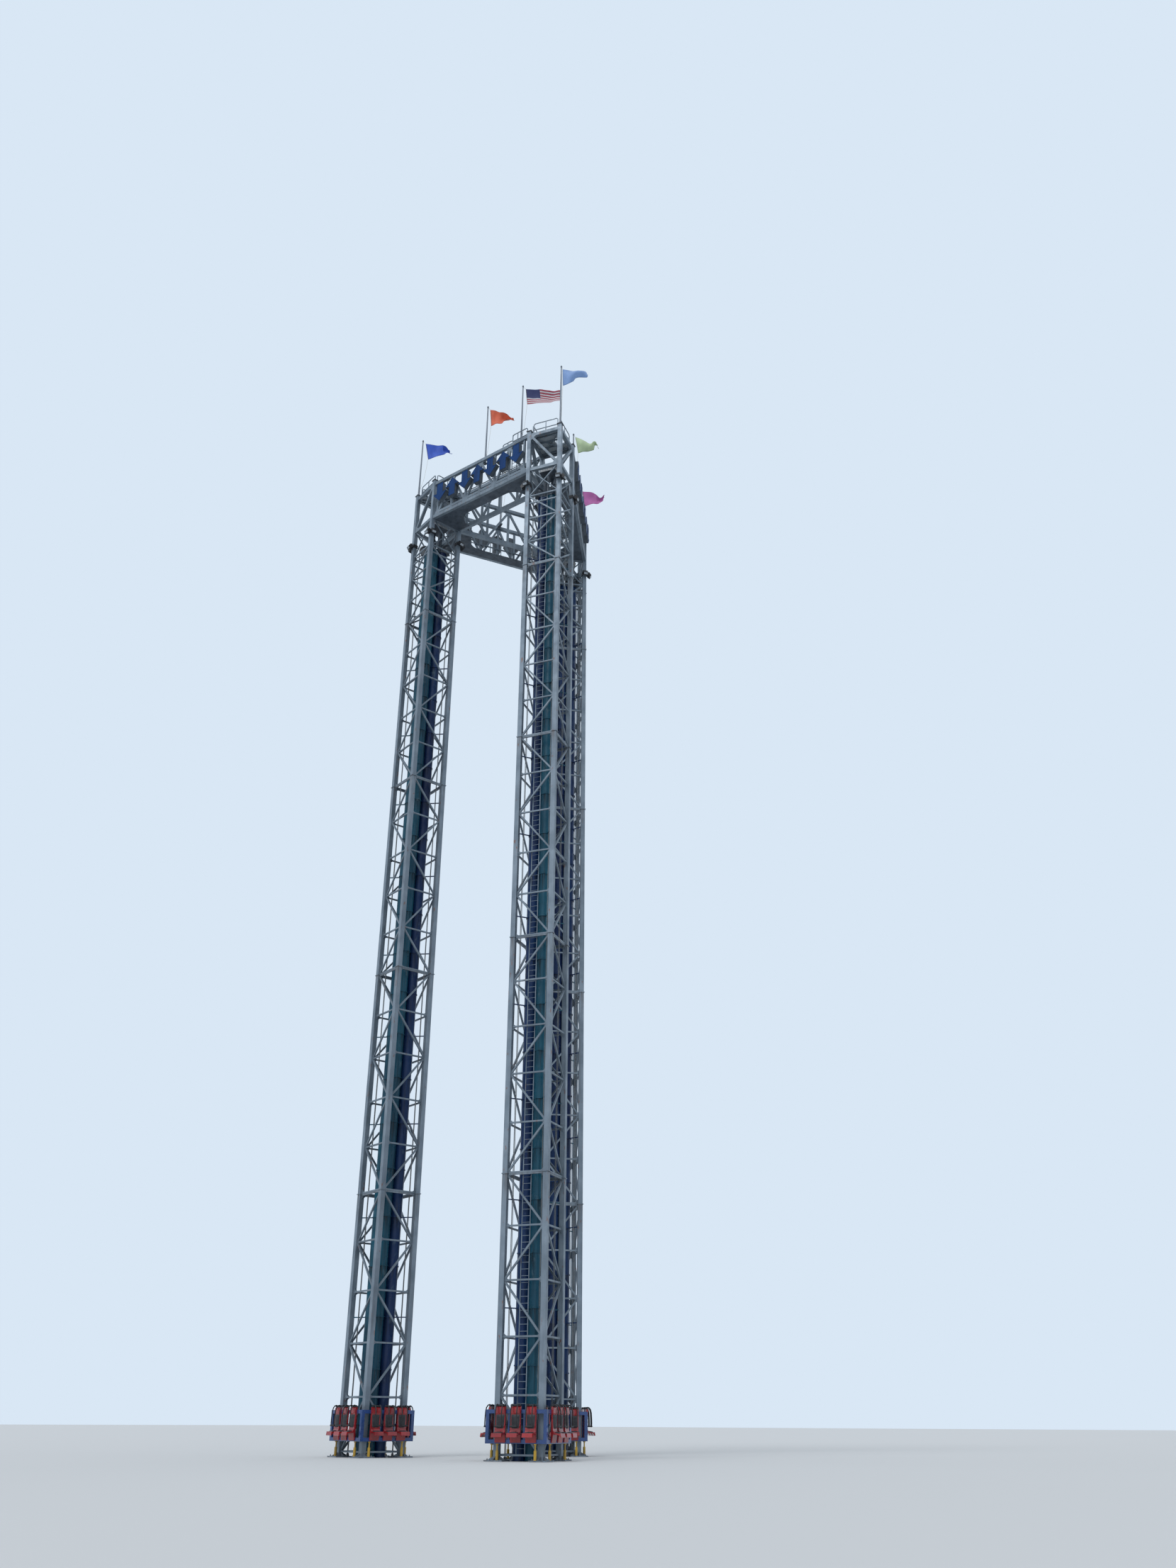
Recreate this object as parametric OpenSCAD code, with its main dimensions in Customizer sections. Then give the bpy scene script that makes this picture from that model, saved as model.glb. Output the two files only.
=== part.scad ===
// Three-mast drop tower ride, as a 1:10 model in millimetres.
// +Z is up, the origin is on the ground at the centre of the three masts,
// and the beam at -Y is the front one.

/* [Masts] */
// Distance from the ride's centre to the centre of each mast
mast_r = 568; // [480:1:700]
// Distance between leg centres along one side of a mast
mast_w = 215; // [205:1:240]
// Side of the square leg tube
leg_w = 26; // [20:1:30]
// Height of one bolted mast section
section_h = 1219.2; // [900:0.1:1300]
// Number of full sections
sections = 4; // [2:1:4]
// Lattice panels in one section
section_panels = 5; // [3:2:5]
// Height of the lowest section joint above the ground
first_level = 20; // [16:1:40]
// Height of each short panel above the full sections
upper_panel_h = 180.5; // [140:0.5:240]
// Number of short panels
upper_panels = 3; // [1:2:3]
// Height of the cross-braced panel under the ring
cross_panel_h = 216; // [160:1:280]

/* [Lattice bars] */
// Width of a lattice diagonal
brace_w = 9; // [6:0.5:11]
// Width of a lattice level bar
level_bar_w = 8; // [6:0.5:10]
// Depth of the lattice bars
brace_t = 8; // [5:0.5:12]
// Height of the cross-braced panel above the bar in front of the cylinder heads
head_bar_drop = 58; // [40:1:100]
// Width of the thin crossed rods under the ring
cross_rod_w = 6; // [4:0.5:9]
// Gap between the two level bars at a section joint
joint_gap = 1; // [0.5:0.5:3]
// Thickness of the bolted flange on a leg at a section joint
flange_t = 4; // [3:0.5:5]
// How far that flange stands out from the leg
flange_out = 3.5; // [2:0.5:5]

/* [Leg feet and caps] */
// Side of the square base plate under each leg
base_plate_w = 88; // [76:1:90]
// Thickness of the base plates
base_plate_t = 5; // [4:0.5:8]
// Diameter of an anchor hole
anchor_d = 4.2; // [3:0.1:5]
// Diameter of the circle that the anchor holes are on
anchor_pcd = 90; // [82:1:96]
// Height of the gussets between a leg and its base plate
gusset_h = 14; // [6:0.5:15]
// Thickness of those gussets
gusset_t = 3; // [2:0.5:5]
// Side of the square cap on a leg's top
cap_w = 36; // [32:1:42]
// Height of that cap
cap_h = 9; // [6:0.5:12]
// Width of the flat left on top of the cap
cap_top_w = 22; // [18:1:28]

/* [Ring at the top] */
// Height of the ring, from the centre of its bottom bars to its top bars
ring_h = 290; // [240:1:340]
// Height of the top and bottom bars of the ring
chord_h = 24; // [18:0.5:30]
// Depth of those bars
chord_t = 20; // [12:0.5:24]
// Width of the ring's diagonals and posts
web_w = 15; // [8:0.5:18]
// Depth of the ring's diagonals and posts
web_t = 10; // [6:0.5:14]
// Height of the leg tops above the centre of the ring's top bars
leg_top_above_ring = 33; // [20:1:45]
// Panels along the outer face of a ring beam
beam_panels = 6; // [4:2:8]
// Panels along the inner face of a ring beam
inner_panels = 4; // [4:2:8]
// Height of the toe rail, above the centre of the bottom bar
toe_rail_up = 31; // [24:0.5:40]
// Height of the toe rail's face
toe_rail_h = 20; // [10:0.5:24]
// Thickness of the soffit plate under the ring
soffit_t = 4; // [3:0.5:8]
// Width of the soffit plate at the middle of a beam
soffit_w = 72; // [60:1:90]
// Half the length of the opening between the soffit plate and the inner truss
soffit_hole_half = 257; // [220:1:290]
// Radius of the soffit's round haunches
haunch_r = 95; // [60:1:110]

/* [Platforms and rails] */
// Thickness of the deck plate on a mast
deck_t = 3; // [2:0.5:5]
// Clearance between the leg caps and a guard rail
cap_clear = 0.5; // [0.3:0.1:5]
// Depth of the joists under the deck
joist_h = 12; // [6:0.5:16]
// Joists across one deck
joists = 4; // [2:2:6]
// Width of the hatch in a deck
hatch_w = 62; // [40:1:70]
// Height of the guard rails above the floor that they guard
rail_h = 105; // [90:1:120]
// Side of a guard rail or post
rail_w = 4.5; // [3:0.5:6]
// Height of the roof guard above the ring's top bars
roof_guard_h = 88; // [60:1:110]
// Height of the kick plate at the foot of a guard rail
kick_h = 14; // [8:1:20]
// Distance between the two rails of a ladder
ladder_w = 42; // [34:1:50]
// Side of a ladder rail
ladder_t = 4; // [3:0.5:5]

/* [Signs] */
// Arrows in a row along one beam
sign_count = 7; // [5:1:8]
// Height of an arrow
sign_h = 150; // [110:1:170]
// Width of an arrow's head
arrow_w = 116; // [90:1:124]
// Height of an arrow's head
arrow_head_h = 68; // [50:1:72]
// Width of an arrow's shaft
shaft_w = 52; // [30:1:60]
// Height of the row above the centre of the bottom bar
sign_up = 88; // [65:1:95]
// How far the arrows stand out from the ring's bars
sign_out = 25; // [10:1:30]

/* [Drive cylinders] */
// Outer diameter of one air cylinder
cylinder_d = 62; // [50:1:66]
// Gap between neighbouring cylinders
cylinder_gap = 3; // [2:0.5:6]
// Thickness of the clamp plates round the cylinders
clamp_t = 5; // [3:0.5:8]
// How far a clamp plate stands out past the cylinders
clamp_out = 3; // [2:0.5:6]
// Width of the arms that tie a clamp plate to the legs
clamp_arm_w = 6; // [4:0.5:7]
// Clear height between the cylinder tops and the ring's bottom bars
cylinder_top_clear = 200; // [150:1:260]
// Diameter of the exhaust pipes on top of the cylinders
exhaust_d = 18; // [12:1:22]
// Height of the exhaust pipes above the cylinders
exhaust_h = 205; // [150:1:240]
// Side of the silencer box on the exhaust pipes
silencer_w = 100; // [90:1:110]
// Height of that box
silencer_h = 46; // [30:1:60]

/* [Hoist ropes] */
// Diameter of a hoist rope
rope_d = 3.5; // [2:0.5:5]
// Distance of the ropes from the mast's centre line
rope_r = 112; // [108:1:116]
// Distance between the two ropes of a pair
rope_pitch = 13; // [11:0.5:16]
// Clearance of a rope in its sheave groove
groove_clear = 0.15; // [0.1:0.05:0.3]
// Height of the sheave rims above the rope's centre line
rim_over = 2; // [1.5:0.25:3]
// Diameter of the sheave axle
axle_d = 10; // [6:0.5:14]
// Height of the sockets that hold the rope ends
socket_h = 12; // [8:1:20]
// Diameter of those sockets
socket_d = 9; // [7:0.5:10]

/* [Carriages] */
// Gap between a leg's outer face and the carriage frame
carriage_gap = 12; // [10:0.5:20]
// Side of the carriage frame's square tube
carriage_tube = 16; // [12:0.5:20]
// Height of the lower frame ring above the ground
carriage_low = 70; // [60:1:110]
// Height between the lower and the upper frame ring
carriage_h = 120; // [100:1:150]
// Width of a guide roller
roller_w = 8; // [5:0.5:12]
// Running clearance of a guide roller on its leg
roller_clear = 0.3; // [0.2:0.1:0.6]
// Diameter of a ground buffer's body
buffer_d = 13; // [10:0.5:16]

/* [Seats] */
// Seats on each side of a carriage
seats_per_side = 3; // [2:1:3]
// Width of one seat
seat_w = 50; // [40:1:60]
// Distance between the centres of neighbouring seats
seat_pitch = 74; // [68:1:84]
// Height of the seat pan above the bottom of the carriage
seat_up = 44; // [34:1:60]
// Thickness of the seat shell
shell_t = 5; // [3:0.5:7]
// Side of the tube that the shoulder restraints are bent from
restraint_t = 4; // [3:0.5:6]

/* [Floodlights] */
// Width of a floodlight's lamp
lamp_w = 32; // [24:1:36]
// Height of the lamps' collars below the ring's bottom bars
lamp_drop = 132; // [60:1:160]
// Height of a collar
collar_h = 24; // [16:1:30]
// Thickness of a collar round its leg
collar_t = 4; // [3:0.5:6]

/* [Flagpoles] */
// Height of a flagpole
pole_h = 500; // [300:5:600]
// Diameter of a flagpole at its foot
pole_foot_d = 13; // [9:0.5:16]
// Diameter of a flagpole at its top
pole_top_d = 8; // [5:0.5:9]
// Height of the cone at a flagpole's foot
pole_cone_h = 16; // [8:1:24]
// Distance of a beam's middle pole behind the outer top bar
pole_back = 40; // [30:1:60]
// Distance of the extra front pole behind that bar
extra_pole_back = 26; // [24:1:60]
// Distance of the extra front pole from the end of the beam
extra_pole_in = 95; // [70:1:160]
// Thickness of the plates of a pole's bracket
bracket_t = 5; // [3:0.5:8]
// Side of a halyard
halyard_t = 1.6; // [1:0.1:2.5]
// Length of a pennant
pennant_l = 185; // [120:1:200]
// Height of a pennant at the halyard
pennant_h = 148; // [80:1:170]
// Height of a pennant at its tail
pennant_tail_h = 44; // [30:1:80]
// Length of the large flag
large_flag_l = 236; // [180:1:245]
// Height of the large flag
large_flag_h = 138; // [100:1:170]
// Thickness of the flags
flag_t = 3; // [1:0.5:4]
// Direction in which the flags blow
wind_azimuth = 35.7; // [30:0.1:42]

/* [Hidden] */
MASTS = [["left", 210], ["right", 330], ["rear", 90]];
BEAMS = [["front", 270], ["right", 30], ["rear", 150]];
steel = [0.6, 0.64, 0.68];
dark_steel = [0.18, 0.22, 0.27];

// Levels, from the ground up
panel_h = section_h / section_panels;
full_top = first_level + sections * section_h;
upper_top = full_top + upper_panels * upper_panel_h;
ring_bottom = upper_top + cross_panel_h;
ring_top = ring_bottom + ring_h;
leg_top = ring_top + leg_top_above_ring;
deck_level = ring_top - chord_h / 2 + joist_h;
roof_level = ring_top + chord_h / 2;
walkway_level = ring_bottom - chord_h / 2 + soffit_t;

// Plan of a mast: its corners lie on and across the line from the ride's centre
corner_r = mast_w / sqrt(2);
clear_w = mast_w - leg_w;
mast_out = (mast_w + leg_w) / 2;
full_panels = sections * section_panels;
all_panels = full_panels + upper_panels;

// Plan of a beam, with its outer face towards local +X
beam_outer_x = mast_r / 2 + corner_r * cos(30);
beam_outer_y = mast_r * sin(60) - corner_r / 2;
beam_inner_x = (mast_r - corner_r) / 2;
beam_inner_y = (mast_r - corner_r) * sin(60);
soffit_outer = beam_outer_x - chord_t / 2;
soffit_inner = beam_inner_x + chord_t / 2;
soffit_edge = soffit_outer - soffit_w;

// Rope run: up the mast, over a sheave and down into the top of a cylinder
cylinder_pitch = cylinder_d + cylinder_gap;
cylinder_r = cylinder_pitch * sqrt(0.5);
cylinder_top = ring_bottom - cylinder_top_clear;
head_top = cylinder_top + clamp_t;
sheave_r = (rope_r - cylinder_r) / 2;
axle_r = (rope_r + cylinder_r) / 2;
rim_r = sheave_r + rim_over;
axle_z = ceil(head_top + rim_r + 6);
sheave_t = rope_pitch + rope_d + 4;
cheek_t = 4;
cheek_in = sheave_t / 2 + 1;

// Plan of a carriage, about the mast's centre
carriage_in = mast_out + carriage_gap;
carriage_out = carriage_in + carriage_tube;

// Level of the bottom of panel i, and the step to the first bar at a section joint
joint_step = (joint_gap + level_bar_w) / 2;
function level(i) = i <= full_panels
    ? first_level + i * panel_h
    : full_top + (i - full_panels) * upper_panel_h;
function is_joint(i) = i <= full_panels && i % section_panels == 0;
function bar_above(i) = level(i) + (is_joint(i) ? joint_step : 0);
function bar_below(i) = level(i) - (is_joint(i) ? joint_step : 0);
function polar(r, a) = [r * cos(a), r * sin(a)];

// Placing helpers
module standing(thickness) {
    rotate([90, 0, 0])
        linear_extrude(thickness, center = true)
            children();
}

module at_mast(azimuth) {
    rotate([0, 0, azimuth])
        translate([mast_r, 0, 0])
            children();
}

// Turns a mast's frame so that its sides lie along X and Y
module square_on() {
    rotate([0, 0, 45])
        children();
}

module each_side() {
    for (turn = [0, 90, 180, 270])
        rotate([0, 0, turn])
            children();
}

module at_corners() {
    each_side()
        translate([corner_r, 0, 0])
            square_on()
                children();
}

module square_plate(width, thickness) {
    translate([-width / 2, -width / 2, 0])
        cube([width, width, thickness]);
}

// A straight bar between two points, as a flat outline
module bar_2d(from, to, width, extra = 0) {
    run = to - from;
    translate(from)
        rotate(atan2(run.y, run.x))
            translate([-extra, -width / 2])
                square([norm(run) + 2 * extra, width]);
}

// A bar with round-cut bends through a list of points
module bent_bar_2d(points, width) {
    for (i = [1 : len(points) - 1])
        bar_2d(points[i - 1], points[i], width, width / 2.5);
}

// A diagonal that fills one panel from corner to corner and ends flush with its edges
module diagonal_2d(width, low, high, rises, bar) {
    inset = bar * 0.6;
    from = [0, rises ? low + inset : high - inset];
    to = [width, rises ? high - inset : low + inset];
    intersection() {
        translate([0, low])
            square([width, high - low]);
        bar_2d(from, to, bar, bar);
    }
}

module level_bar_2d(width, height, bar) {
    translate([0, height - bar / 2])
        square([width, bar]);
}

// Masts
// One side of a mast below the ring; x = 0 is the corner nearer the radial line
module lattice_side_2d() {
    difference() {
        union()
            for (i = [0 : all_panels - 1]) {
                diagonal_2d(clear_w, bar_above(i), bar_below(i + 1), i % 2 == 0, brace_w);
                level_bar_2d(clear_w, bar_above(i), level_bar_w);
                if (is_joint(i + 1))
                    level_bar_2d(clear_w, bar_below(i + 1), level_bar_w);
            }
        for (i = [1 : sections], x = [0, clear_w])
            translate([x - flange_out, first_level + i * section_h - flange_t / 2])
                square([2 * flange_out, flange_t]);
    }
    for (height = [upper_top - head_bar_drop, upper_top])
        level_bar_2d(clear_w, height, level_bar_w);
    for (rises = [true, false])
        diagonal_2d(clear_w, upper_top, ring_bottom, rises, cross_rod_w);
}

// The same side at the height of the ring, in heavier bars with corner gussets
module ring_side_2d() {
    gusset = 2.2 * web_w;
    level_bar_2d(clear_w, ring_bottom, chord_h);
    level_bar_2d(clear_w, ring_top, chord_h);
    diagonal_2d(clear_w, ring_bottom, ring_top, true, web_w);
    translate([0, ring_bottom + chord_h / 2])
        polygon([[0, 0], [gusset, 0], [0, gusset]]);
    translate([clear_w, ring_top - chord_h / 2])
        polygon([[0, 0], [-gusset, 0], [0, -gusset]]);
}

// Sides 1 and 2 meet at the outer corner, sides 3 and 4 at the inner corner
module lattice_side(azimuth, side) {
    outer = side <= 2;
    turn = (side % 2 == 1 ? 1 : -1) * (outer ? 135 : 45);
    color(steel)
        at_mast(azimuth)
            translate([outer ? corner_r : -corner_r, 0, 0])
                rotate([0, 0, turn])
                    translate([leg_w / 2, 0, 0]) {
                        standing(brace_t)
                            lattice_side_2d();
                        standing(chord_t)
                            ring_side_2d();
                    }
}

module leg() {
    translate([0, 0, base_plate_t])
        square_plate(leg_w, leg_top - base_plate_t);
    for (i = [1 : sections])
        translate([0, 0, first_level + i * section_h - flange_t / 2])
            square_plate(leg_w + 2 * flange_out, flange_t);
}

module mast_legs(azimuth) {
    color(steel)
        at_mast(azimuth)
            at_corners()
                leg();
}

// Base plate with four anchor holes and a gusset on each face of the leg
module foot() {
    gusset_l = (base_plate_w - leg_w) / 2 - 4;
    difference() {
        square_plate(base_plate_w, base_plate_t);
        each_side()
            rotate([0, 0, 45])
                translate([anchor_pcd / 2, 0, -1])
                    cylinder(d = anchor_d, h = base_plate_t + 2, $fn = 24);
    }
    each_side()
        translate([leg_w / 2, 0, base_plate_t])
            standing(gusset_t)
                polygon([[0, 0], [gusset_l, 0], [gusset_l, 3], [3, gusset_h], [0, gusset_h]]);
}

module base_plates() {
    color(steel)
        for (mast = MASTS)
            at_mast(mast[1])
                at_corners()
                    foot();
}

module leg_caps() {
    color(dark_steel)
        for (mast = MASTS)
            at_mast(mast[1])
                at_corners()
                    translate([0, 0, leg_top])
                        hull() {
                            square_plate(cap_w, cap_h / 3);
                            translate([0, 0, cap_h - 1])
                                square_plate(cap_top_w, 1);
                        }
}

// Drive
// Outline of a clamp plate: it follows the four cylinders
module clamp_2d() {
    square(cylinder_pitch, center = true);
    for (x = [-0.5, 0.5], y = [-0.5, 0.5])
        translate([x * cylinder_pitch, y * cylinder_pitch])
            circle(d = cylinder_d + 2 * clamp_out, $fn = 48);
}

// Arms from a clamp plate that end round the inner corner of each leg
module clamp_arms_2d() {
    square_on()
        each_side()
            difference() {
                translate([cylinder_r, -clamp_arm_w / 2])
                    square([corner_r - cylinder_r, clamp_arm_w]);
                translate([corner_r, 0])
                    rotate(45)
                        square(leg_w, center = true);
            }
}

// Four air cylinders that stand side by side in the middle of a mast
module drive_cylinders(azimuth) {
    color([0.1, 0.22, 0.28])
        at_mast(azimuth)
            square_on() {
                for (x = [-0.5, 0.5], y = [-0.5, 0.5])
                    translate([x * cylinder_pitch, y * cylinder_pitch, 0])
                        cylinder(d = cylinder_d, h = cylinder_top, $fn = 48);
                linear_extrude(base_plate_t)
                    clamp_2d();
                for (i = [1 : all_panels - 1])
                    translate([0, 0, level(i) - panel_h / 2])
                        linear_extrude(clamp_t) {
                            clamp_2d();
                            if (i % 2 == 1)
                                clamp_arms_2d();
                        }
            }
}

// A rope rises from a socket, bends over its sheave and ends in a socket on the head plate
module hoist_rope() {
    runs = [[1, axle_z - base_plate_t, socket_h], [-1, axle_z - head_top, socket_h / 2]];
    for (run = runs)
        translate([run[0] * sheave_r, 0, -run[1]]) {
            cylinder(d = rope_d, h = run[1], $fn = 16);
            cylinder(d = socket_d, h = run[2], $fn = 24);
        }
    rotate([90, 0, 0])
        rotate_extrude(angle = 180, $fn = 96)
            translate([sheave_r, 0])
                circle(d = rope_d, $fn = 16);
}

module hoist_ropes(azimuth) {
    color([0.5, 0.52, 0.54])
        at_mast(azimuth)
            each_side()
                for (side = [-0.5, 0.5])
                    translate([axle_r, side * rope_pitch, axle_z])
                        hoist_rope();
}

// Half section of a sheave: hub, web, and a rim with two rope grooves
module sheave_half_2d() {
    rim_in = sheave_r - rope_d / 2 - 4;
    difference() {
        union() {
            translate([rim_in, -sheave_t / 2])
                square([rim_r - rim_in, sheave_t]);
            translate([0, -sheave_t / 4])
                square([rim_in, sheave_t / 2]);
            translate([0, -cheek_in])
                square([axle_d / 2 + 3, 2 * cheek_in]);
        }
        for (side = [-0.5, 0.5])
            translate([sheave_r, side * rope_pitch]) {
                circle(d = rope_d + 2 * groove_clear, $fn = 24);
                translate([0, -rope_d / 2 - groove_clear])
                    square([rim_over + 1, rope_d + 2 * groove_clear]);
            }
    }
}

module cheek_2d() {
    foot_w = rim_r;
    polygon([
        [-foot_w / 2, 0], [foot_w / 2, 0], [axle_d, axle_z - head_top], [-axle_d, axle_z - head_top]
    ]);
    translate([0, axle_z - head_top])
        circle(r = axle_d, $fn = 32);
}

// Box that the exhaust pipes end in, with a lid and cooling ribs
module silencer() {
    square_plate(silencer_w, silencer_h);
    square_plate(silencer_w + 10, 3);
    translate([0, 0, silencer_h])
        square_plate(silencer_w + 10, 3);
    each_side()
        for (i = [-2 : 2])
            translate([silencer_w / 2 - 1, i * silencer_w / 6 - 1, 6])
                cube([4, 2, silencer_h - 12]);
}

// Head plate with four grooved sheaves, and exhaust pipes that end in a silencer
module sheave_head(azimuth) {
    head_w = 2 * (cheek_in + cheek_t) + 6;
    color([0.5, 0.53, 0.56])
        at_mast(azimuth) {
            translate([0, 0, cylinder_top])
                linear_extrude(clamp_t) {
                    square_on()
                        clamp_2d();
                    for (turn = [0, 90])
                        rotate(turn)
                            square([2 * (axle_r + rim_r / 2), head_w], center = true);
                }
            each_side() {
                translate([axle_r, 0, axle_z])
                    rotate([90, 0, 0])
                        rotate_extrude($fn = 64)
                            sheave_half_2d();
                for (side = [-1, 1])
                    translate([axle_r, side * (cheek_in + cheek_t / 2), head_top])
                        standing(cheek_t)
                            cheek_2d();
                square_on()
                    translate([cylinder_d / 2 + clamp_out, 0, head_top]) {
                        cylinder(d = exhaust_d, h = exhaust_h, $fn = 32);
                        cylinder(d = exhaust_d + 8, h = 4, $fn = 32);
                    }
            }
            translate([0, 0, head_top + exhaust_h])
                square_on()
                    silencer();
        }
}

// Carriages
// Guide roller between the frame and the outer face of a leg, with its two ears
module guide_roller() {
    roller_r = (carriage_gap - 2 * roller_clear) / 2;
    translate([mast_out + roller_clear + roller_r, 0, 0])
        rotate([90, 0, 0]) {
            cylinder(r = roller_r, h = roller_w, center = true, $fn = 32);
            for (side = [-1, 1])
                translate([0, -roller_r / 2, side * (roller_w / 2 + 1) - 1])
                    cube([carriage_gap - roller_r - roller_clear, roller_r, 2]);
        }
}

module carriage_ring(bottom) {
    translate([0, 0, bottom])
        difference() {
            square_plate(2 * carriage_out, carriage_tube);
            translate([0, 0, -1])
                square_plate(2 * carriage_in, carriage_tube + 2);
        }
}

// Frame that surrounds a mast, parked at loading height on its buffers
module carriage(azimuth) {
    post_at = carriage_out - carriage_tube / 2;
    color([0.2, 0.3, 0.55])
        at_mast(azimuth)
            square_on() {
                for (bottom = [carriage_low, carriage_low + carriage_h])
                    carriage_ring(bottom);
                each_side() {
                    translate([post_at, post_at, carriage_low])
                        square_plate(carriage_tube, carriage_h + carriage_tube);
                    for (bottom = [0, carriage_h], side = [-0.5, 0.5])
                        translate([0, side * mast_w, carriage_low + bottom + carriage_tube / 2])
                            guide_roller();
                    translate([post_at, 0, carriage_low + carriage_tube])
                        for (side = [-1, 1])
                            translate([0, side * seat_pitch / 2, 0])
                                square_plate(carriage_tube / 2, carriage_h - carriage_tube);
                }
            }
}

// Buffers on the base plates, between the gussets and the anchor holes
module ground_buffers() {
    side = (carriage_in + carriage_out) / 2;
    along = mast_w / 2 - anchor_pcd * sqrt(0.5) / 4;
    rise = carriage_low - base_plate_t;
    pad_h = 5;
    color([0.75, 0.6, 0.1])
        for (mast = MASTS)
            at_mast(mast[1])
                square_on()
                    each_side()
                        for (way = [-1, 1])
                            translate([side, way * along, base_plate_t]) {
                                cylinder(d = buffer_d, h = rise * 0.6, $fn = 32);
                                cylinder(d = buffer_d / 2, h = rise, $fn = 32);
                                translate([0, 0, rise - pad_h])
                                    cylinder(d = buffer_d, h = pad_h, $fn = 32);
                            }
}

// Side view of a seat shell: back, headrest and pan with a turned-down lip
module seat_2d() {
    back_top = carriage_h + carriage_tube;
    polygon([
        [0, 4], [shell_t, 4], [shell_t + 5, seat_up - 6], [38, seat_up - 9], [45, seat_up - 20],
        [49, seat_up - 18], [46, seat_up - 2], [40, seat_up - 9 + shell_t], [14, seat_up],
        [shell_t + 4, seat_up + 8], [shell_t + 1, back_top - 24], [shell_t + 5, back_top - 14],
        [shell_t + 5, back_top + 8], [shell_t, back_top + 12], [0, back_top + 12]
    ]);
}

module at_seats() {
    for (mast = MASTS)
        at_mast(mast[1])
            square_on()
                each_side()
                    for (i = [0 : seats_per_side - 1])
                        translate([carriage_out, (i - (seats_per_side - 1) / 2) * seat_pitch,
                                carriage_low])
                            children();
}

module seats() {
    color([0.75, 0.15, 0.12])
        at_seats()
            standing(seat_w)
                seat_2d();
}

// Shoulder restraint, closed: two bent tubes from the hinge block to the lap bar
module restraint() {
    top = carriage_h + carriage_tube + 12;
    arm = [[3, top + 7], [16, top + 5], [27, top - 12], [31, seat_up + 26]];
    arm_gap = seat_w * 0.3;
    translate([0, -seat_w / 2, top])
        cube([shell_t + 5, seat_w, 9]);
    for (side = [-1, 1])
        translate([0, side * arm_gap, 0])
            standing(restraint_t)
                bent_bar_2d(arm, restraint_t);
    translate([31 - restraint_t, -arm_gap - restraint_t / 2, seat_up + 20])
        cube([2 * restraint_t, 2 * arm_gap + restraint_t, 2 * restraint_t]);
}

module restraints() {
    color([0.12, 0.12, 0.14])
        at_seats()
            restraint();
}

// Ring beams
// Chamfered plates where the diagonals meet a chord; up is 1 above it and -1 below it
module node_plate_2d(x, height, up) {
    plate_w = 1.7 * web_w;
    translate([x, height])
        polygon([[-plate_w, 0], [plate_w, 0], [plate_w / 2, up * plate_w], [-plate_w / 2, up * plate_w]]);
}

// Web of a beam face: diagonals that rise and fall in turn, posts and node plates
module web_2d(half, panels, first_rises) {
    step = 2 * half / panels;
    for (i = [0 : panels - 1])
        translate([i * step - half, 0])
            diagonal_2d(step, ring_bottom, ring_top, (i % 2 == 0) == first_rises, web_w);
    for (i = [0 : panels]) {
        meets_low = (i % 2 == 0) == first_rises;
        translate([i * step - half - web_w / 2, ring_bottom])
            square([web_w, ring_h]);
        if (meets_low)
            node_plate_2d(i * step - half, ring_bottom + chord_h / 2, 1);
        else
            node_plate_2d(i * step - half, ring_top - chord_h / 2, -1);
    }
}

module beam_legs_2d() {
    for (side = [-1, 1], at = [[beam_outer_x, beam_outer_y], [beam_inner_x, beam_inner_y]])
        translate([at.x, side * at.y])
            rotate(15 * side)
                square(leg_w, center = true);
}

// A chord stops at the leg faces and at the planes that it shares with the next beams
module chord(x, half_length, height, bar) {
    reach = 2 * x * tan(60);
    translate([0, 0, height - chord_h / 2])
        linear_extrude(bar)
            difference() {
                intersection() {
                    translate([x - chord_t / 2, -half_length])
                        square([chord_t, 2 * half_length]);
                    polygon([[0, 0], [2 * x, -reach], [2 * x, reach]]);
                }
                beam_legs_2d();
            }
}

module beam_web(x, thickness) {
    translate([x, 0, 0])
        rotate([0, 0, 90])
            standing(thickness)
                children();
}

// Outer face of a beam: two chords, the web and the toe rail
module beam_outer_truss(azimuth) {
    half = beam_outer_y - 1.6 * leg_w;
    color(steel)
        rotate([0, 0, azimuth]) {
            for (height = [ring_bottom, ring_top])
                chord(beam_outer_x, beam_outer_y, height, chord_h);
            beam_web(beam_outer_x, web_t)
                web_2d(half, beam_panels, true);
            translate([beam_outer_x - web_t / 2, -half, ring_bottom + toe_rail_up - toe_rail_h / 2])
                cube([web_t, 2 * half, toe_rail_h]);
        }
}

// Inner face of a beam, with a deeper bottom chord
module beam_inner_truss(azimuth) {
    half = beam_inner_y - 2 * leg_w;
    color(steel)
        rotate([0, 0, azimuth]) {
            chord(beam_inner_x, beam_inner_y, ring_bottom, chord_h * 1.25);
            chord(beam_inner_x, beam_inner_y, ring_top, chord_h);
            beam_web(beam_inner_x, web_t)
                web_2d(half, inner_panels, false);
        }
}

// Opening between the walkway and the inner truss, with round corners, grown by a margin
module opening_2d(grow) {
    edge = soffit_edge + grow;
    half = soffit_hole_half + grow;
    corner = haunch_r + grow;
    translate([soffit_inner - 1, -half])
        square([edge - soffit_inner + 1 - corner, 2 * half]);
    translate([soffit_inner - 1, corner - half])
        square([edge - soffit_inner + 1, 2 * (half - corner)]);
    for (side = [-1, 1])
        translate([edge - corner, side * (half - corner)])
            circle(corner, $fn = 96);
}

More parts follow.
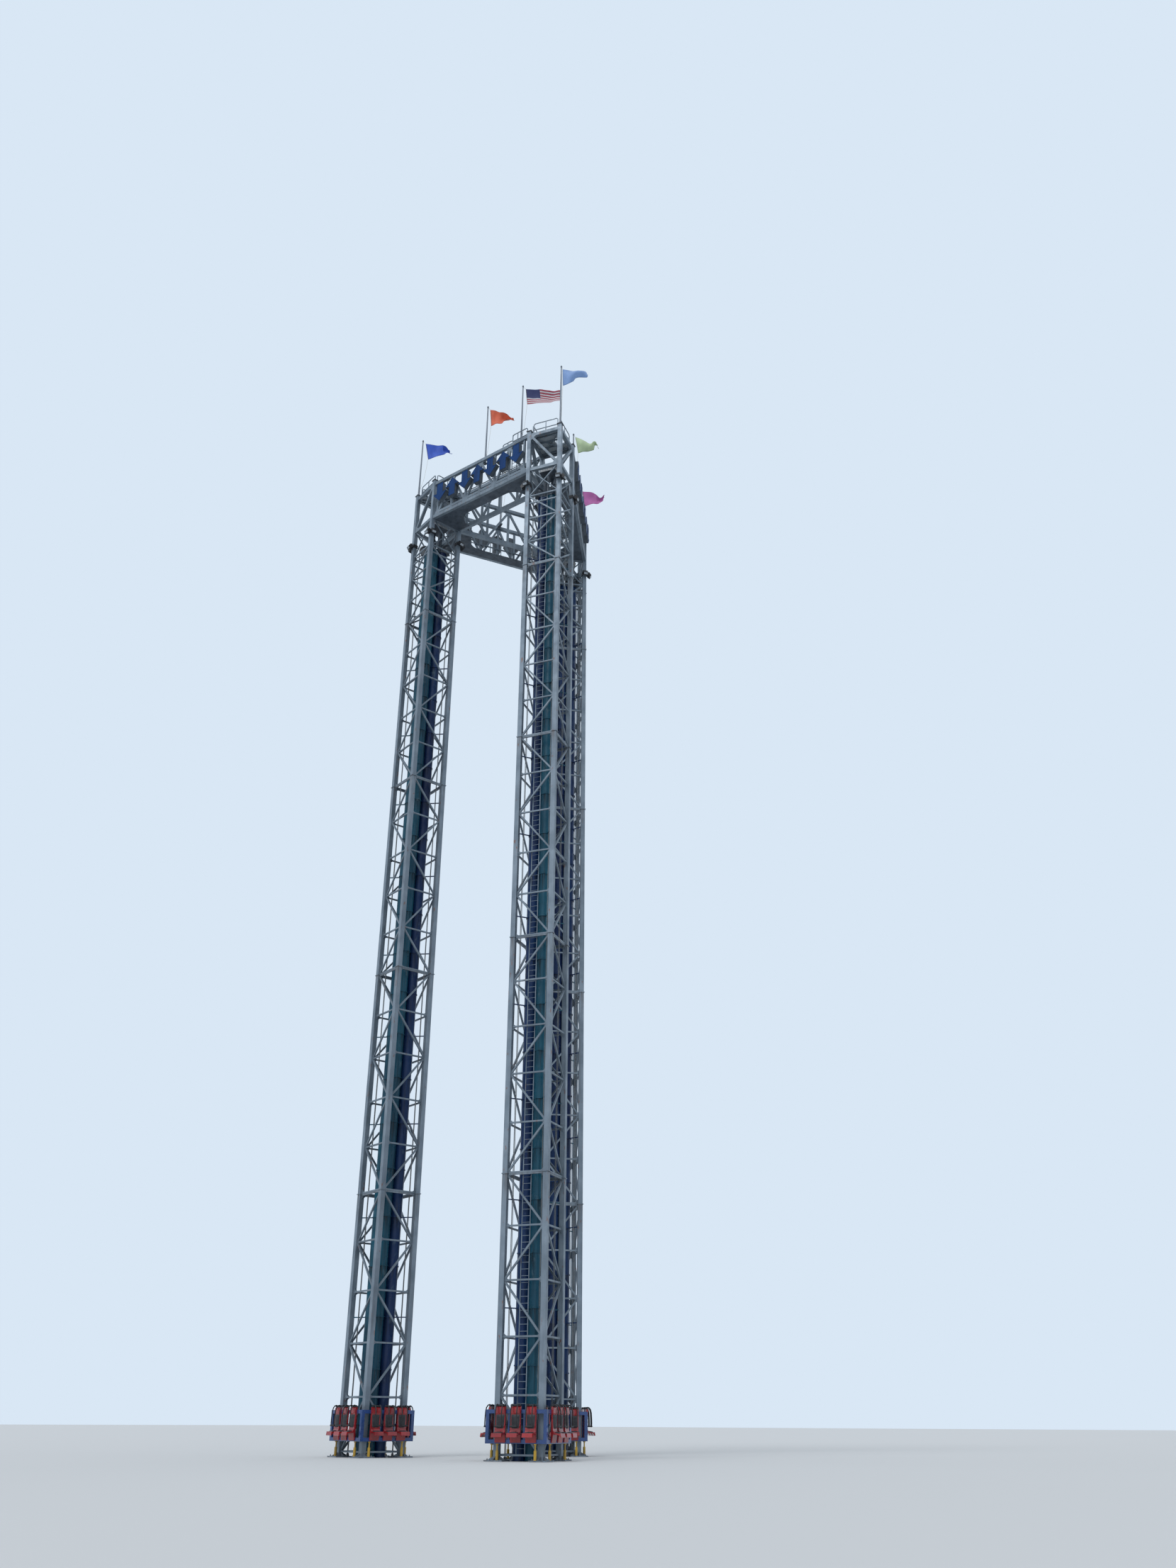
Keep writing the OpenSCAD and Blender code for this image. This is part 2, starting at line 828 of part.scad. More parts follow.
// Walkway plate along the outer chord, which widens with round haunches at the masts
module beam_soffit(azimuth) {
    color(dark_steel)
        rotate([0, 0, azimuth])
            translate([0, 0, ring_bottom - chord_h / 2])
                linear_extrude(soffit_t)
                    difference() {
                        translate([soffit_inner, -beam_outer_y])
                            square([soffit_outer - soffit_inner, 2 * beam_outer_y]);
                        opening_2d(0);
                        for (side = [-1, 1])
                            translate([mast_r * cos(60), side * mast_r * sin(60)])
                                rotate(side * 15)
                                    square(2 * mast_out, center = true);
                    }
}

// An arrow that points up, its foot at height 0
module arrow_2d() {
    polygon([
        [-shaft_w / 2, 0], [shaft_w / 2, 0], [shaft_w / 2, sign_h - arrow_head_h],
        [arrow_w / 2, sign_h - arrow_head_h], [0, sign_h], [-arrow_w / 2, sign_h - arrow_head_h],
        [-shaft_w / 2, sign_h - arrow_head_h]
    ]);
}

// Raised arrows, up and down in turn, fixed to the posts and diagonals of the outer face
module sign(azimuth) {
    pitch = 2 * (beam_outer_y - arrow_w / 2 - leg_w) / (sign_count - 1);
    color([0.1, 0.25, 0.5])
        rotate([0, 0, azimuth])
            translate([beam_outer_x + web_t / 2, 0, ring_bottom + sign_up])
                rotate([90, 0, 90])
                    linear_extrude(sign_out + (chord_t - web_t) / 2)
                        for (i = [0 : sign_count - 1])
                            translate([(i - (sign_count - 1) / 2) * pitch, i % 2 == 0 ? sign_h : 0])
                                scale([1, i % 2 == 0 ? -1 : 1])
                                    arrow_2d();
}

// Platforms, rails and ladders
// One bent guard: two posts with a rounded top rail, a mid rail and a post between them
module guard_2d(low, high, height, between) {
    bend = 2 * rail_w;
    bent_bar_2d([
        [low, 0], [low, height - bend], [low + bend, height], [high - bend, height],
        [high, height - bend], [high, 0]
    ], rail_w);
    bar_2d([low, height / 2], [high, height / 2], rail_w);
    bar_2d([between, 0], [between, height], rail_w);
}

// Deck on joists between a mast's top bars, with a hatch, crossed rods below and four guards
module mast_platform() {
    deck_half = (mast_w - chord_t) / 2;
    joist_at = deck_half - 1.5 * joist_h;
    guard_half = (mast_w - cap_w) / 2 - rail_w - cap_clear;
    translate([0, 0, deck_level]) {
        linear_extrude(deck_t)
            difference() {
                square(2 * deck_half, center = true);
                translate([hatch_w / 2, -hatch_w / 2])
                    square([deck_half - joist_h - hatch_w / 2, hatch_w]);
                for (x = [-0.5, 0.5], y = [-0.5, 0.5])
                    translate([x * mast_w, y * mast_w])
                        square(leg_w, center = true);
            }
        for (i = [0 : joists - 1])
            translate([-deck_half, (2 * i / (joists - 1) - 1) * joist_at - rail_w / 2, -joist_h])
                cube([2 * deck_half, rail_w, joist_h]);
        translate([0, 0, -joist_h])
            linear_extrude(joist_h / 2)
                rod_cross_2d();
        each_side() {
            translate([deck_half - rail_w / 2, 0, deck_t])
                rotate([0, 0, 90])
                    standing(rail_w)
                        guard_2d(-guard_half, guard_half, rail_h, 0);
            translate([deck_half - rail_w / 2, -guard_half, deck_t])
                cube([rail_w / 2, 2 * guard_half, kick_h]);
        }
    }
}

// Crossed rods in plan, which end round the inner corner of each leg
module rod_cross_2d() {
    each_side()
        difference() {
            rotate(45)
                translate([0, -cross_rod_w / 2])
                    square([corner_r, cross_rod_w]);
            translate([mast_w / 2, mast_w / 2])
                square(leg_w, center = true);
        }
}

module mast_platforms() {
    color(steel)
        for (mast = MASTS)
            at_mast(mast[1])
                square_on()
                    mast_platform();
}

// Guard rail round a walkway's opening, and the two rails behind the outer truss
module walkway_rail() {
    half = beam_outer_y - 1.6 * leg_w;
    edge = soffit_edge + 1 + rail_w / 2;
    haunch_x = soffit_edge - haunch_r;
    end_y = soffit_hole_half + 1 + rail_w / 2;
    straight = soffit_hole_half - haunch_r;
    for (height = [rail_h, rail_h / 2])
        translate([0, 0, walkway_level + height - rail_w]) {
            linear_extrude(rail_w)
                difference() {
                    opening_2d(1 + rail_w);
                    opening_2d(1);
                    translate([0, -2 * end_y])
                        square([soffit_inner, 4 * end_y]);
                }
            translate([beam_outer_x - web_t / 2 - rail_w, -half, 0])
                cube([rail_w, 2 * half, rail_w]);
        }
    for (at = [
            [edge, 0], [edge, straight / 2], [edge, -straight / 2], [edge, straight], [edge, -straight],
            [haunch_x, end_y], [haunch_x, -end_y]])
        translate([at.x, at.y, walkway_level])
            square_plate(rail_w, rail_h);
}

module walkway_rails() {
    color(steel)
        for (beam = BEAMS)
            rotate([0, 0, beam[1]])
                walkway_rail();
}

// Ladder inside a mast, held by brackets on the level bars of one side
module mast_ladder() {
    stand_off = 12;
    plane = (mast_w - brace_t) / 2 - stand_off;
    top = level(all_panels);
    for (side = [-0.5, 0.5])
        translate([plane, side * ladder_w, 0]) {
            translate([0, 0, (level(0) + top) / 2])
                cube([ladder_t, ladder_t, top - level(0)], center = true);
            for (i = [0 : all_panels])
                translate([0, -ladder_t / 2, bar_above(i) - ladder_t / 2])
                    cube([stand_off, ladder_t, ladder_t]);
        }
}

// Ladder from the front walkway to the ring's top, between the rails of the guards there
module roof_ladder() {
    rung_pitch = 30;
    rise = roof_level - walkway_level;
    pole_y = beam_outer_y - extra_pole_in;
    pole_side = pole_foot_d + rail_w;
    ladder_high = pole_y - pole_side;
    ladder_low = ladder_high - ladder_w;
    guard_end = beam_outer_y - 1.2 * leg_w;
    step_end = ladder_low - 2 * ladder_w;
    translate([soffit_outer, 0, walkway_level]) {
        translate([-ladder_t / 2, 0, 0])
            for (y = [ladder_low, ladder_high])
                translate([0, y, 0])
                    square_plate(ladder_t, rise + roof_guard_h);
        for (z = [rung_pitch : rung_pitch : rise])
            translate([-0.75 * ladder_t, ladder_low, z])
                cube([ladder_t / 2, ladder_w, ladder_t / 2]);
        translate([-rail_w / 2, 0, rise - chord_h])
            rotate([0, 0, 90])
                standing(rail_w) {
                    guard_2d(ladder_low, guard_end, chord_h + roof_guard_h, pole_y + pole_side);
                    guard_2d(step_end, ladder_low, chord_h + roof_guard_h / 2, ladder_low - ladder_w);
                }
    }
}

module service_ladders() {
    color(steel) {
        for (mast = MASTS)
            at_mast(mast[1])
                rotate([0, 0, -45])
                    mast_ladder();
        rotate([0, 0, BEAMS[0][1]])
            roof_ladder();
    }
}

// Floodlights
// Side view of a lamp: body, glass hood and three cooling fins at the back
module lamp_2d() {
    polygon([[0, 8], [6, 8], [6, 0], [24, -12], [34, 4], [22, 24], [6, 24], [6, 16], [0, 16]]);
    for (i = [0 : 2])
        translate([10 + 5 * i, 20])
            square([2, 10 - 2 * i]);
}

// Clamp collar round a leg, with two lamps that turn away from each other
module floodlight() {
    collar = leg_w + 2 * collar_t;
    difference() {
        union() {
            square_on()
                square_plate(collar, collar_h);
            for (side = [-1, 1])
                rotate([0, 0, side * 38])
                    translate([collar / 2 - 2, 0, -4])
                        standing(lamp_w)
                            lamp_2d();
        }
        translate([0, 0, -30])
            square_on()
                square_plate(leg_w, 90);
    }
}

module floodlights() {
    color([0.08, 0.08, 0.09])
        for (mast = MASTS)
            at_mast(mast[1])
                each_side()
                    translate([corner_r, 0, ring_bottom - lamp_drop])
                        floodlight();
}

// Flags
// Foot of each pole, and how far the flag's hoist edge is from the pole at its top and bottom
POLES = concat(
    [for (mast = MASTS) concat(polar(mast_r + corner_r, mast[1]), leg_top + cap_h)],
    [for (beam = BEAMS) concat(polar(beam_outer_x - pole_back, beam[1]), roof_level)],
    [[beam_outer_y - extra_pole_in, extra_pole_back - beam_outer_x, roof_level]]
);
HOIST = [[20, 46], [8, 12], [16, 28], [16, 27], [12, 34], [16, 28], [19, 32]];
hoist_drop = 22;
cleat_z = 60;

// Bracket on the inner face of the outer top bar, with a spigot that carries a pole
module pole_bracket(back, y) {
    pole_in = back - chord_t / 2;
    reach = pole_in + pole_foot_d;
    translate([soffit_outer, y, roof_level - bracket_t]) {
        translate([-reach, -pole_foot_d, 0])
            cube([reach, 2 * pole_foot_d, bracket_t]);
        translate([-pole_in, 0, 0])
            cylinder(d = pole_foot_d, h = bracket_t + pole_cone_h / 2, $fn = 32);
        standing(bracket_t)
            polygon([[0, 0], [-reach, 0], [0, bracket_t - chord_h]]);
    }
}

module flagpoles() {
    color([0.35, 0.37, 0.4]) {
        for (foot = POLES)
            translate(foot) {
                cylinder(d1 = 2 * pole_foot_d, d2 = pole_foot_d, h = pole_cone_h, $fn = 32);
                cylinder(d1 = pole_foot_d, d2 = pole_top_d, h = pole_h, $fn = 32);
                translate([0, 0, pole_h - 3])
                    cylinder(d = 1.5 * pole_top_d, h = 4, $fn = 32);
                translate([0, 0, pole_h + pole_top_d / 2])
                    sphere(d = 1.4 * pole_top_d, $fn = 32);
            }
        for (beam = BEAMS)
            rotate([0, 0, beam[1]])
                pole_bracket(pole_back, 0);
        rotate([0, 0, BEAMS[0][1]])
            pole_bracket(extra_pole_back, beam_outer_y - extra_pole_in);
    }
}

function pole_r(z) = (pole_foot_d + (pole_top_d - pole_foot_d) * z / pole_h) / 2;

// A halyard leaves the pole's top, follows the flag's hoist edge and returns to the cleat
module halyard(hoist, height) {
    top = pole_h - hoist_drop;
    standing(halyard_t)
        bent_bar_2d([
            [pole_r(pole_h) - 1, pole_h - 6], [hoist[0], top], [hoist[1], top - height],
            [hoist[1] * 0.6, cleat_z + 90], [pole_r(cleat_z) - 1, cleat_z]
        ], halyard_t);
}

module at_poles(numbers) {
    for (i = numbers)
        translate(POLES[i])
            rotate([0, 0, wind_azimuth]) {
                $pole = i;
                children();
            }
}

module halyards() {
    last = len(POLES) - 1;
    color([0.8, 0.8, 0.78])
        difference() {
            at_poles([0 : last])
                halyard(HOIST[$pole], $pole == last ? large_flag_h : pennant_h);
            for (foot = POLES)
                translate(foot)
                    cylinder(d1 = pole_foot_d, d2 = pole_top_d, h = pole_h, $fn = 32);
        }
}

// A flag starts at its halyard and tapers to its tail
module flag(hoist, length, height, tail) {
    top = pole_h - hoist_drop;
    drop = (height - tail) / 2;
    edge = halyard_t / 2 + 0.3;
    standing(flag_t)
        polygon([
            [hoist[0] + edge, top], [hoist[0] + length, top - drop],
            [hoist[0] + length, top - height + drop], [hoist[1] + edge, top - height]
        ]);
}

module pennants() {
    color([0.4, 0.5, 0.8])
        at_poles([0 : len(POLES) - 2])
            flag(HOIST[$pole], pennant_l, pennant_h, pennant_tail_h);
}

module large_flag() {
    color([0.7, 0.3, 0.3])
        at_poles([len(POLES) - 1])
            flag(HOIST[$pole], large_flag_l, large_flag_h, large_flag_h);
}

for (mast = MASTS) {
    name = mast[0];
    azimuth = mast[1];
    mast_legs(azimuth);
    for (side = [1 : 4])
        lattice_side(azimuth, side);
    drive_cylinders(azimuth);
    hoist_ropes(azimuth);
    sheave_head(azimuth);
    carriage(azimuth);
}
for (beam = BEAMS) {
    name = beam[0];
    azimuth = beam[1];
    beam_outer_truss(azimuth);
    beam_inner_truss(azimuth);
    beam_soffit(azimuth);
    sign(azimuth);
}
base_plates();
ground_buffers();
seats();
restraints();
mast_platforms();
walkway_rails();
service_ladders();
leg_caps();
floodlights();
flagpoles();
halyards();
pennants();
large_flag();
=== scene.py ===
import math

import bpy
from mathutils import Matrix, Vector


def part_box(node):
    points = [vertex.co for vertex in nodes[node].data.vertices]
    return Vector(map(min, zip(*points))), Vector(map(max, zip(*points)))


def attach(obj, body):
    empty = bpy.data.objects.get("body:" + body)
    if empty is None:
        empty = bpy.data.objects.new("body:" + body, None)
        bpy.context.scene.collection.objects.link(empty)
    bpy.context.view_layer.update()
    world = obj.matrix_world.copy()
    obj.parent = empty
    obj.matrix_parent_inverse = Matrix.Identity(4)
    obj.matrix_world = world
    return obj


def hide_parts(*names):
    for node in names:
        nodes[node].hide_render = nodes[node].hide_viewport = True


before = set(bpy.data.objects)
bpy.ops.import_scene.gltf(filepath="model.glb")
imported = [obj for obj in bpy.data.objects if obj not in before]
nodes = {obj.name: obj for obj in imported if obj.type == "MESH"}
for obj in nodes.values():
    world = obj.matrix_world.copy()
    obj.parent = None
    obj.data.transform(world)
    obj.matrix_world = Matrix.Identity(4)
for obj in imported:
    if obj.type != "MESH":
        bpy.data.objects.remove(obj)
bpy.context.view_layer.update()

# The view
# The ride is seen from the ground at eye height, which is 0.15 m at this scale, from about 7 m
# away and looking up.
eye = Vector((4.443, -5.348, 0.15))
look_azimuth = math.radians(125.69)
look_up = math.radians(26.935)
roll = math.radians(0.262)
lens = 28.91
sensor_height = 36.0
view_depth = 200

level_forward = Vector((math.cos(look_azimuth), math.sin(look_azimuth), 0))
level_right = Vector((math.sin(look_azimuth), -math.cos(look_azimuth), 0))
forward = math.cos(look_up) * level_forward + Vector((0, 0, math.sin(look_up)))
upward = level_right.cross(forward)
right = math.cos(roll) * level_right + math.sin(roll) * upward
upward = right.cross(forward)

camera = bpy.data.objects.new("camera", bpy.data.cameras.new("camera"))
camera.data.sensor_fit = "VERTICAL"
camera.data.sensor_height = sensor_height
camera.data.lens = lens
camera.data.clip_end = view_depth
camera.matrix_world = Matrix((
    (right.x, upward.x, -forward.x, eye.x),
    (right.y, upward.y, -forward.y, eye.y),
    (right.z, upward.z, -forward.z, eye.z),
    (0, 0, 0, 1)))
bpy.context.scene.collection.objects.link(camera)
bpy.context.scene.camera = camera
bpy.context.scene.view_settings.view_transform = "Standard"


# The floor and the light
# A plain pale floor under an even bright sky, with one broad soft lamp high behind the camera,
# to its left, so that the steelwork shows light fronts and darker undersides.
def tint(code):
    """A hexadecimal screen colour as the linear colour that a shader takes"""
    screen = [int(code[i:i + 2], 16) / 255 for i in (0, 2, 4)]
    return [c / 12.92 if c <= 0.04045 else ((c + 0.055) / 1.055) ** 2.4 for c in screen] + [1]


floor_half = 60
floor_drop = 0.0005
floor_colour = tint("c9cdd0")
floor_rough = 0.9
sky_seen = tint("d9e7f5")
sky_light = tint("eef2f7")
sky_level = 0.82
lamp_level = 1.0
lamp_spread = math.radians(25)
lamp_from = Vector((0.05, -0.80, 0.95))

floor_mesh = bpy.data.meshes.new("floor")
floor_mesh.from_pydata([(x * floor_half, y * floor_half, -floor_drop)
                        for x, y in ((-1, -1), (1, -1), (1, 1), (-1, 1))], [], [(0, 1, 2, 3)])
floor = bpy.data.objects.new("floor", floor_mesh)
bpy.context.scene.collection.objects.link(floor)
floor_finish = bpy.data.materials.new("floor_finish")
floor_finish.use_nodes = True
floor_shader = floor_finish.node_tree.nodes["Principled BSDF"]
floor_shader.inputs["Base Color"].default_value = floor_colour
floor_shader.inputs["Roughness"].default_value = floor_rough
floor_mesh.materials.append(floor_finish)

world = bpy.data.worlds.new("sky")
bpy.context.scene.world = world
world.use_nodes = True
sky = world.node_tree
sky.nodes.clear()
rays = sky.nodes.new("ShaderNodeLightPath")
sees_backdrop = rays.outputs["Is Camera Ray"]
for kind in ("Is Glossy Ray", "Is Transmission Ray"):
    either = sky.nodes.new("ShaderNodeMath")
    either.operation = "MAXIMUM"
    sky.links.new(sees_backdrop, either.inputs[0])
    sky.links.new(rays.outputs[kind], either.inputs[1])
    sees_backdrop = either.outputs[0]
lighting = sky.nodes.new("ShaderNodeBackground")
lighting.inputs["Color"].default_value = sky_light
lighting.inputs["Strength"].default_value = sky_level
backdrop = sky.nodes.new("ShaderNodeBackground")
backdrop.inputs["Color"].default_value = sky_seen
chosen = sky.nodes.new("ShaderNodeMixShader")
sky.links.new(sees_backdrop, chosen.inputs["Fac"])
sky.links.new(lighting.outputs[0], chosen.inputs[1])
sky.links.new(backdrop.outputs[0], chosen.inputs[2])
sky_out = sky.nodes.new("ShaderNodeOutputWorld")
sky.links.new(chosen.outputs[0], sky_out.inputs["Surface"])

lamp = bpy.data.objects.new("soft_lamp", bpy.data.lights.new("soft_lamp", "SUN"))
lamp.data.energy = lamp_level
lamp.data.angle = lamp_spread
lamp.rotation_euler = lamp_from.to_track_quat("Z", "Y").to_euler()
bpy.context.scene.collection.objects.link(lamp)


# Mast legs, lattice bars and foot plates
# Hot-dip galvanised steel, dulled by years outdoors: square tubes that stand on thick foot plates,
# with bars welded between them, and run marks down every face.
class Surface:
    """A finish whose colour, gloss and relief are built up in layers, on object coordinates"""

    def __init__(self, name, rough, metal=0.0):
        self.material = bpy.data.materials.new(name)
        self.material.use_nodes = True
        self.tree = self.material.node_tree
        self.shader = self.tree.nodes["Principled BSDF"]
        self.shader.inputs["Metallic"].default_value = metal
        self.shader.inputs["Roughness"].default_value = rough
        self.place = self.tree.nodes.new("ShaderNodeTexCoord").outputs["Object"]
        self.colour = None
        self.relief = None

    def node(self, kind, **values):
        made = self.tree.nodes.new(kind)
        for key, value in values.items():
            setattr(made, key, value)
        return made

    def join(self, source, target):
        self.tree.links.new(source, target)

    def noise(self, scale, stretch=(1, 1, 1), detail=5.0, low=0.35, high=0.65):
        """A 0 to 1 mask of patches about 1 / scale metres across, long where stretch is small"""
        mapping = self.node("ShaderNodeMapping")
        mapping.inputs["Scale"].default_value = stretch
        self.join(self.place, mapping.inputs["Vector"])
        patches = self.node("ShaderNodeTexNoise")
        patches.inputs["Scale"].default_value = scale
        patches.inputs["Detail"].default_value = detail
        self.join(mapping.outputs["Vector"], patches.inputs["Vector"])
        contrast = self.node("ShaderNodeMapRange", clamp=True)
        contrast.inputs["From Min"].default_value = low
        contrast.inputs["From Max"].default_value = high
        self.join(patches.outputs["Fac"], contrast.inputs["Value"])
        return contrast.outputs["Result"]

    def cells(self, scale):
        """A mask of flat grains about 1 / scale metres across, such as zinc spangle"""
        grains = self.node("ShaderNodeTexVoronoi")
        grains.inputs["Scale"].default_value = scale
        self.join(self.place, grains.inputs["Vector"])
        return grains.outputs["Color"]

    def maths(self, operation, *terms):
        """A calculation on masks and plain numbers"""
        step = self.node("ShaderNodeMath", operation=operation)
        for i, term in enumerate(terms):
            if hasattr(term, "links"):
                self.join(term, step.inputs[i])
            else:
                step.inputs[i].default_value = term
        return step.outputs[0]

    def times(self, mask, factor):
        return self.maths("MULTIPLY", mask, factor)

    def along(self, direction):
        """Distance along a direction, from the origin"""
        dot = self.node("ShaderNodeVectorMath", operation="DOT_PRODUCT")
        self.join(self.place, dot.inputs[0])
        dot.inputs[1].default_value = direction
        return dot.outputs["Value"]

    def below_each(self, start, pitch, length):
        """A mask that is full just under each of a row of heights and fades out downwards"""
        steps = self.maths("DIVIDE", self.maths("SUBTRACT", self.along((0, 0, 1)), start), pitch)
        fade = self.node("ShaderNodeMapRange", clamp=True)
        fade.inputs["From Min"].default_value = 1 - length / pitch
        self.join(self.maths("FRACT", steps), fade.inputs["Value"])
        return fade.outputs["Result"]

    def blend(self, under, over, mask):
        """Two colours mixed by a mask, each a colour code or the result of another blend"""
        mix = self.node("ShaderNodeMix", data_type="RGBA")
        self.join(mask, mix.inputs["Factor"])
        for letter, colour in (("A", under), ("B", over)):
            if isinstance(colour, str):
                mix.inputs[letter].default_value = tint(colour)
            else:
                self.join(colour, mix.inputs[letter])
        return mix.outputs["Result"]

    def base(self, under, over, mask):
        """The first two colours"""
        self.colour = self.blend(under, over, mask)
        self.join(self.colour, self.shader.inputs["Base Color"])

    def coat(self, colour, mask, amount=1.0):
        """One more colour, over what is there, where the mask is high"""
        self.base(self.colour, colour, self.times(mask, amount))

    def gloss(self, mask, low, high):
        """Roughness that goes from low to high with the mask"""
        span = self.node("ShaderNodeMapRange")
        span.inputs["To Min"].default_value = low
        span.inputs["To Max"].default_value = high
        self.join(mask, span.inputs["Value"])
        self.join(span.outputs["Result"], self.shader.inputs["Roughness"])

    def emboss(self, mask, depth, strength):
        """Relief of a depth in metres, over the relief that is there"""
        bump = self.node("ShaderNodeBump")
        bump.inputs["Distance"].default_value = depth
        bump.inputs["Strength"].default_value = strength
        self.join(mask, bump.inputs["Height"])
        if self.relief is not None:
            self.join(self.relief, bump.inputs["Normal"])
        self.relief = bump.outputs["Normal"]
        self.join(self.relief, self.shader.inputs["Normal"])


first_level = 0.02
section_h = 1.2192
run_marks = (1, 1, 0.08)
joint_stain_l = 0.16


def zinc(name, clean, dull, rust_amount):
    """Galvanised steel: spangle, broad dulling, run marks down it and a little rust"""
    steel = Surface(name, rough=0.5, metal=0.3)
    steel.base(clean, dull, steel.noise(9, detail=8))
    steel.coat(dull, steel.noise(70, run_marks, low=0.45, high=0.75), 0.55)
    steel.coat("5b646d", steel.noise(30, run_marks, low=0.58, high=0.7), 0.5)
    rust = steel.noise(46, (1, 1, 0.4), detail=9, low=0.64, high=0.72)
    steel.coat("7a4d33", rust, rust_amount)
    under_joints = steel.times(steel.below_each(first_level, section_h, joint_stain_l),
                               steel.noise(95, run_marks, low=0.42, high=0.62))
    steel.coat("57493f", under_joints, 0.7 * rust_amount)
    steel.gloss(steel.noise(24, detail=6), 0.38, 0.62)
    steel.emboss(steel.cells(420), 0.0002, 0.35)
    steel.emboss(steel.noise(160, detail=3), 0.0002, 0.3)
    return steel


def dress(names, material):
    """Gives CAD pieces their finish"""
    for name in names:
        mesh = nodes[name].data
        mesh.materials.clear()
        mesh.materials.append(material)


leg_zinc = zinc("leg_zinc", "8593a0", "6c7a87", 0.75).material
bar_zinc = zinc("bar_zinc", "7f8d99", "66737f", 0.5).material
masts = {"left": 210, "right": 330, "rear": 90}
beams = {"front": 270, "right": 30, "rear": 150}
dress([f"{mast}_mast_legs" for mast in masts] + ["base_plates"], leg_zinc)
dress([f"{mast}_lattice_{side}" for mast in masts for side in (1, 2, 3, 4)], bar_zinc)
dress([f"{beam}_beam_{face}_truss" for beam in beams for face in ("outer", "inner")], bar_zinc)
dress(["walkway_rails", "service_ladders"], bar_zinc)


# Bolts of the mast sections and of the foot plates
# High-strength bolts with hexagon heads pull the section flanges together. Studs with washers and
# nuts hold the foot plates down.
class Stock:
    """Gathers turned parts, bars and plates, and joins them into one piece"""

    def __init__(self):
        self.points = []
        self.faces = []

    def rings(self, rings):
        """A skin through rings of points, closed at both ends"""
        start = len(self.points)
        sides = len(rings[0])
        for ring in rings:
            self.points.extend(ring)
        for i in range(len(rings) - 1):
            for j in range(sides):
                k = (j + 1) % sides
                low, high = start + i * sides, start + (i + 1) * sides
                self.faces.append((low + j, low + k, high + k, high + j))
        last = start + (len(rings) - 1) * sides
        self.faces.append(tuple(start + j for j in reversed(range(sides))))
        self.faces.append(tuple(last + j for j in range(sides)))

    def turned(self, base, axis, profile, sides):
        """A part turned about an axis, from (radius, height) pairs from its base up"""
        axis = axis.normalized()
        across = axis.orthogonal().normalized()
        beside = axis.cross(across)
        self.rings([circle(base + axis * height, across, beside, radius, sides)
                    for radius, height in profile])

    def tube(self, path, radius, sides):
        """A round bar along a path, with its section kept square to the path"""
        across = (path[1] - path[0]).orthogonal().normalized()
        rings = []
        for i, point in enumerate(path):
            ahead = path[min(i + 1, len(path) - 1)] - path[max(i - 1, 0)]
            ahead.normalize()
            across = (across - ahead * across.dot(ahead)).normalized()
            rings.append(circle(point, across, ahead.cross(across), radius, sides))
        self.rings(rings)

    def plate(self, outline, thickness):
        """A flat outline, given as points in order, thickened along a vector"""
        self.rings([outline, [point + thickness for point in outline]])

    def made(self, name, material, slot, smooth=False):
        """The gathered parts as one piece of the ride"""
        mesh = bpy.data.meshes.new(name)
        mesh.from_pydata([tuple(point) for point in self.points], [], self.faces)
        mesh.materials.append(material)
        if smooth:
            mesh.shade_smooth()
            mesh.set_sharp_from_angle(angle=sharp_edge)
        piece = bpy.data.objects.new(name, mesh)
        bpy.context.scene.collection.objects.link(piece)
        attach(piece, "root")
        return piece


def circle(middle, across, beside, radius, sides):
    """Points round a circle, from across towards beside"""
    turns = [2 * math.pi * j / sides for j in range(sides)]
    return [middle + (math.cos(turn) * across + math.sin(turn) * beside) * radius
            for turn in turns]


def polar(radius, turn, height):
    """A place given by its distance and turn round the upright axis, and its height"""
    return Vector((radius * math.cos(turn), radius * math.sin(turn), height))


sharp_edge = math.radians(40)
upright = Vector((0, 0, 1))
mast_w = 0.215
leg_w = 0.026
section_count = 4
flange_t = 0.004
flange_out = 0.0035
flange_bolt_shift = 0.28 * leg_w
hexagon = 6
bolt_head = [(0.0015, 0), (0.0015, 0.0009), (0.0012, 0.0012)]
anchor_radius = 0.045
foot_t = 0.005
washer_t = 0.0006
washer = [(0.0042, 0), (0.0042, washer_t), (0.0019, washer_t)]
nut = [(0.0031, 0), (0.0031, 0.0028), (0.0026, 0.0032)]
stud = [(0.0018, 0), (0.0018, 0.006)]

mast_axis = {}
for mast in masts:
    low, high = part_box(f"{mast}_drive_cylinders")
    middle = (Vector(low) + Vector(high)) / 2
    mast_axis[mast] = Vector((middle.x, middle.y, 0))


def square_axes(mast):
    """Directions along the sides of a mast, which stands with a corner towards the centre"""
    side = polar(1, math.radians(masts[mast] + 45), 0)
    return side, upright.cross(side)


def mast_faces(mast):
    """The way that each face of a mast looks, with a direction along it"""
    side, beside = square_axes(mast)
    return (side, beside), (beside, side), (-side, beside), (-beside, side)


def leg_feet(mast):
    """The middle of each leg of a mast, on the ground"""
    side, beside = square_axes(mast)
    for i in (-0.5, 0.5):
        for j in (-0.5, 0.5):
            yield mast_axis[mast] + mast_w * (i * side + j * beside)


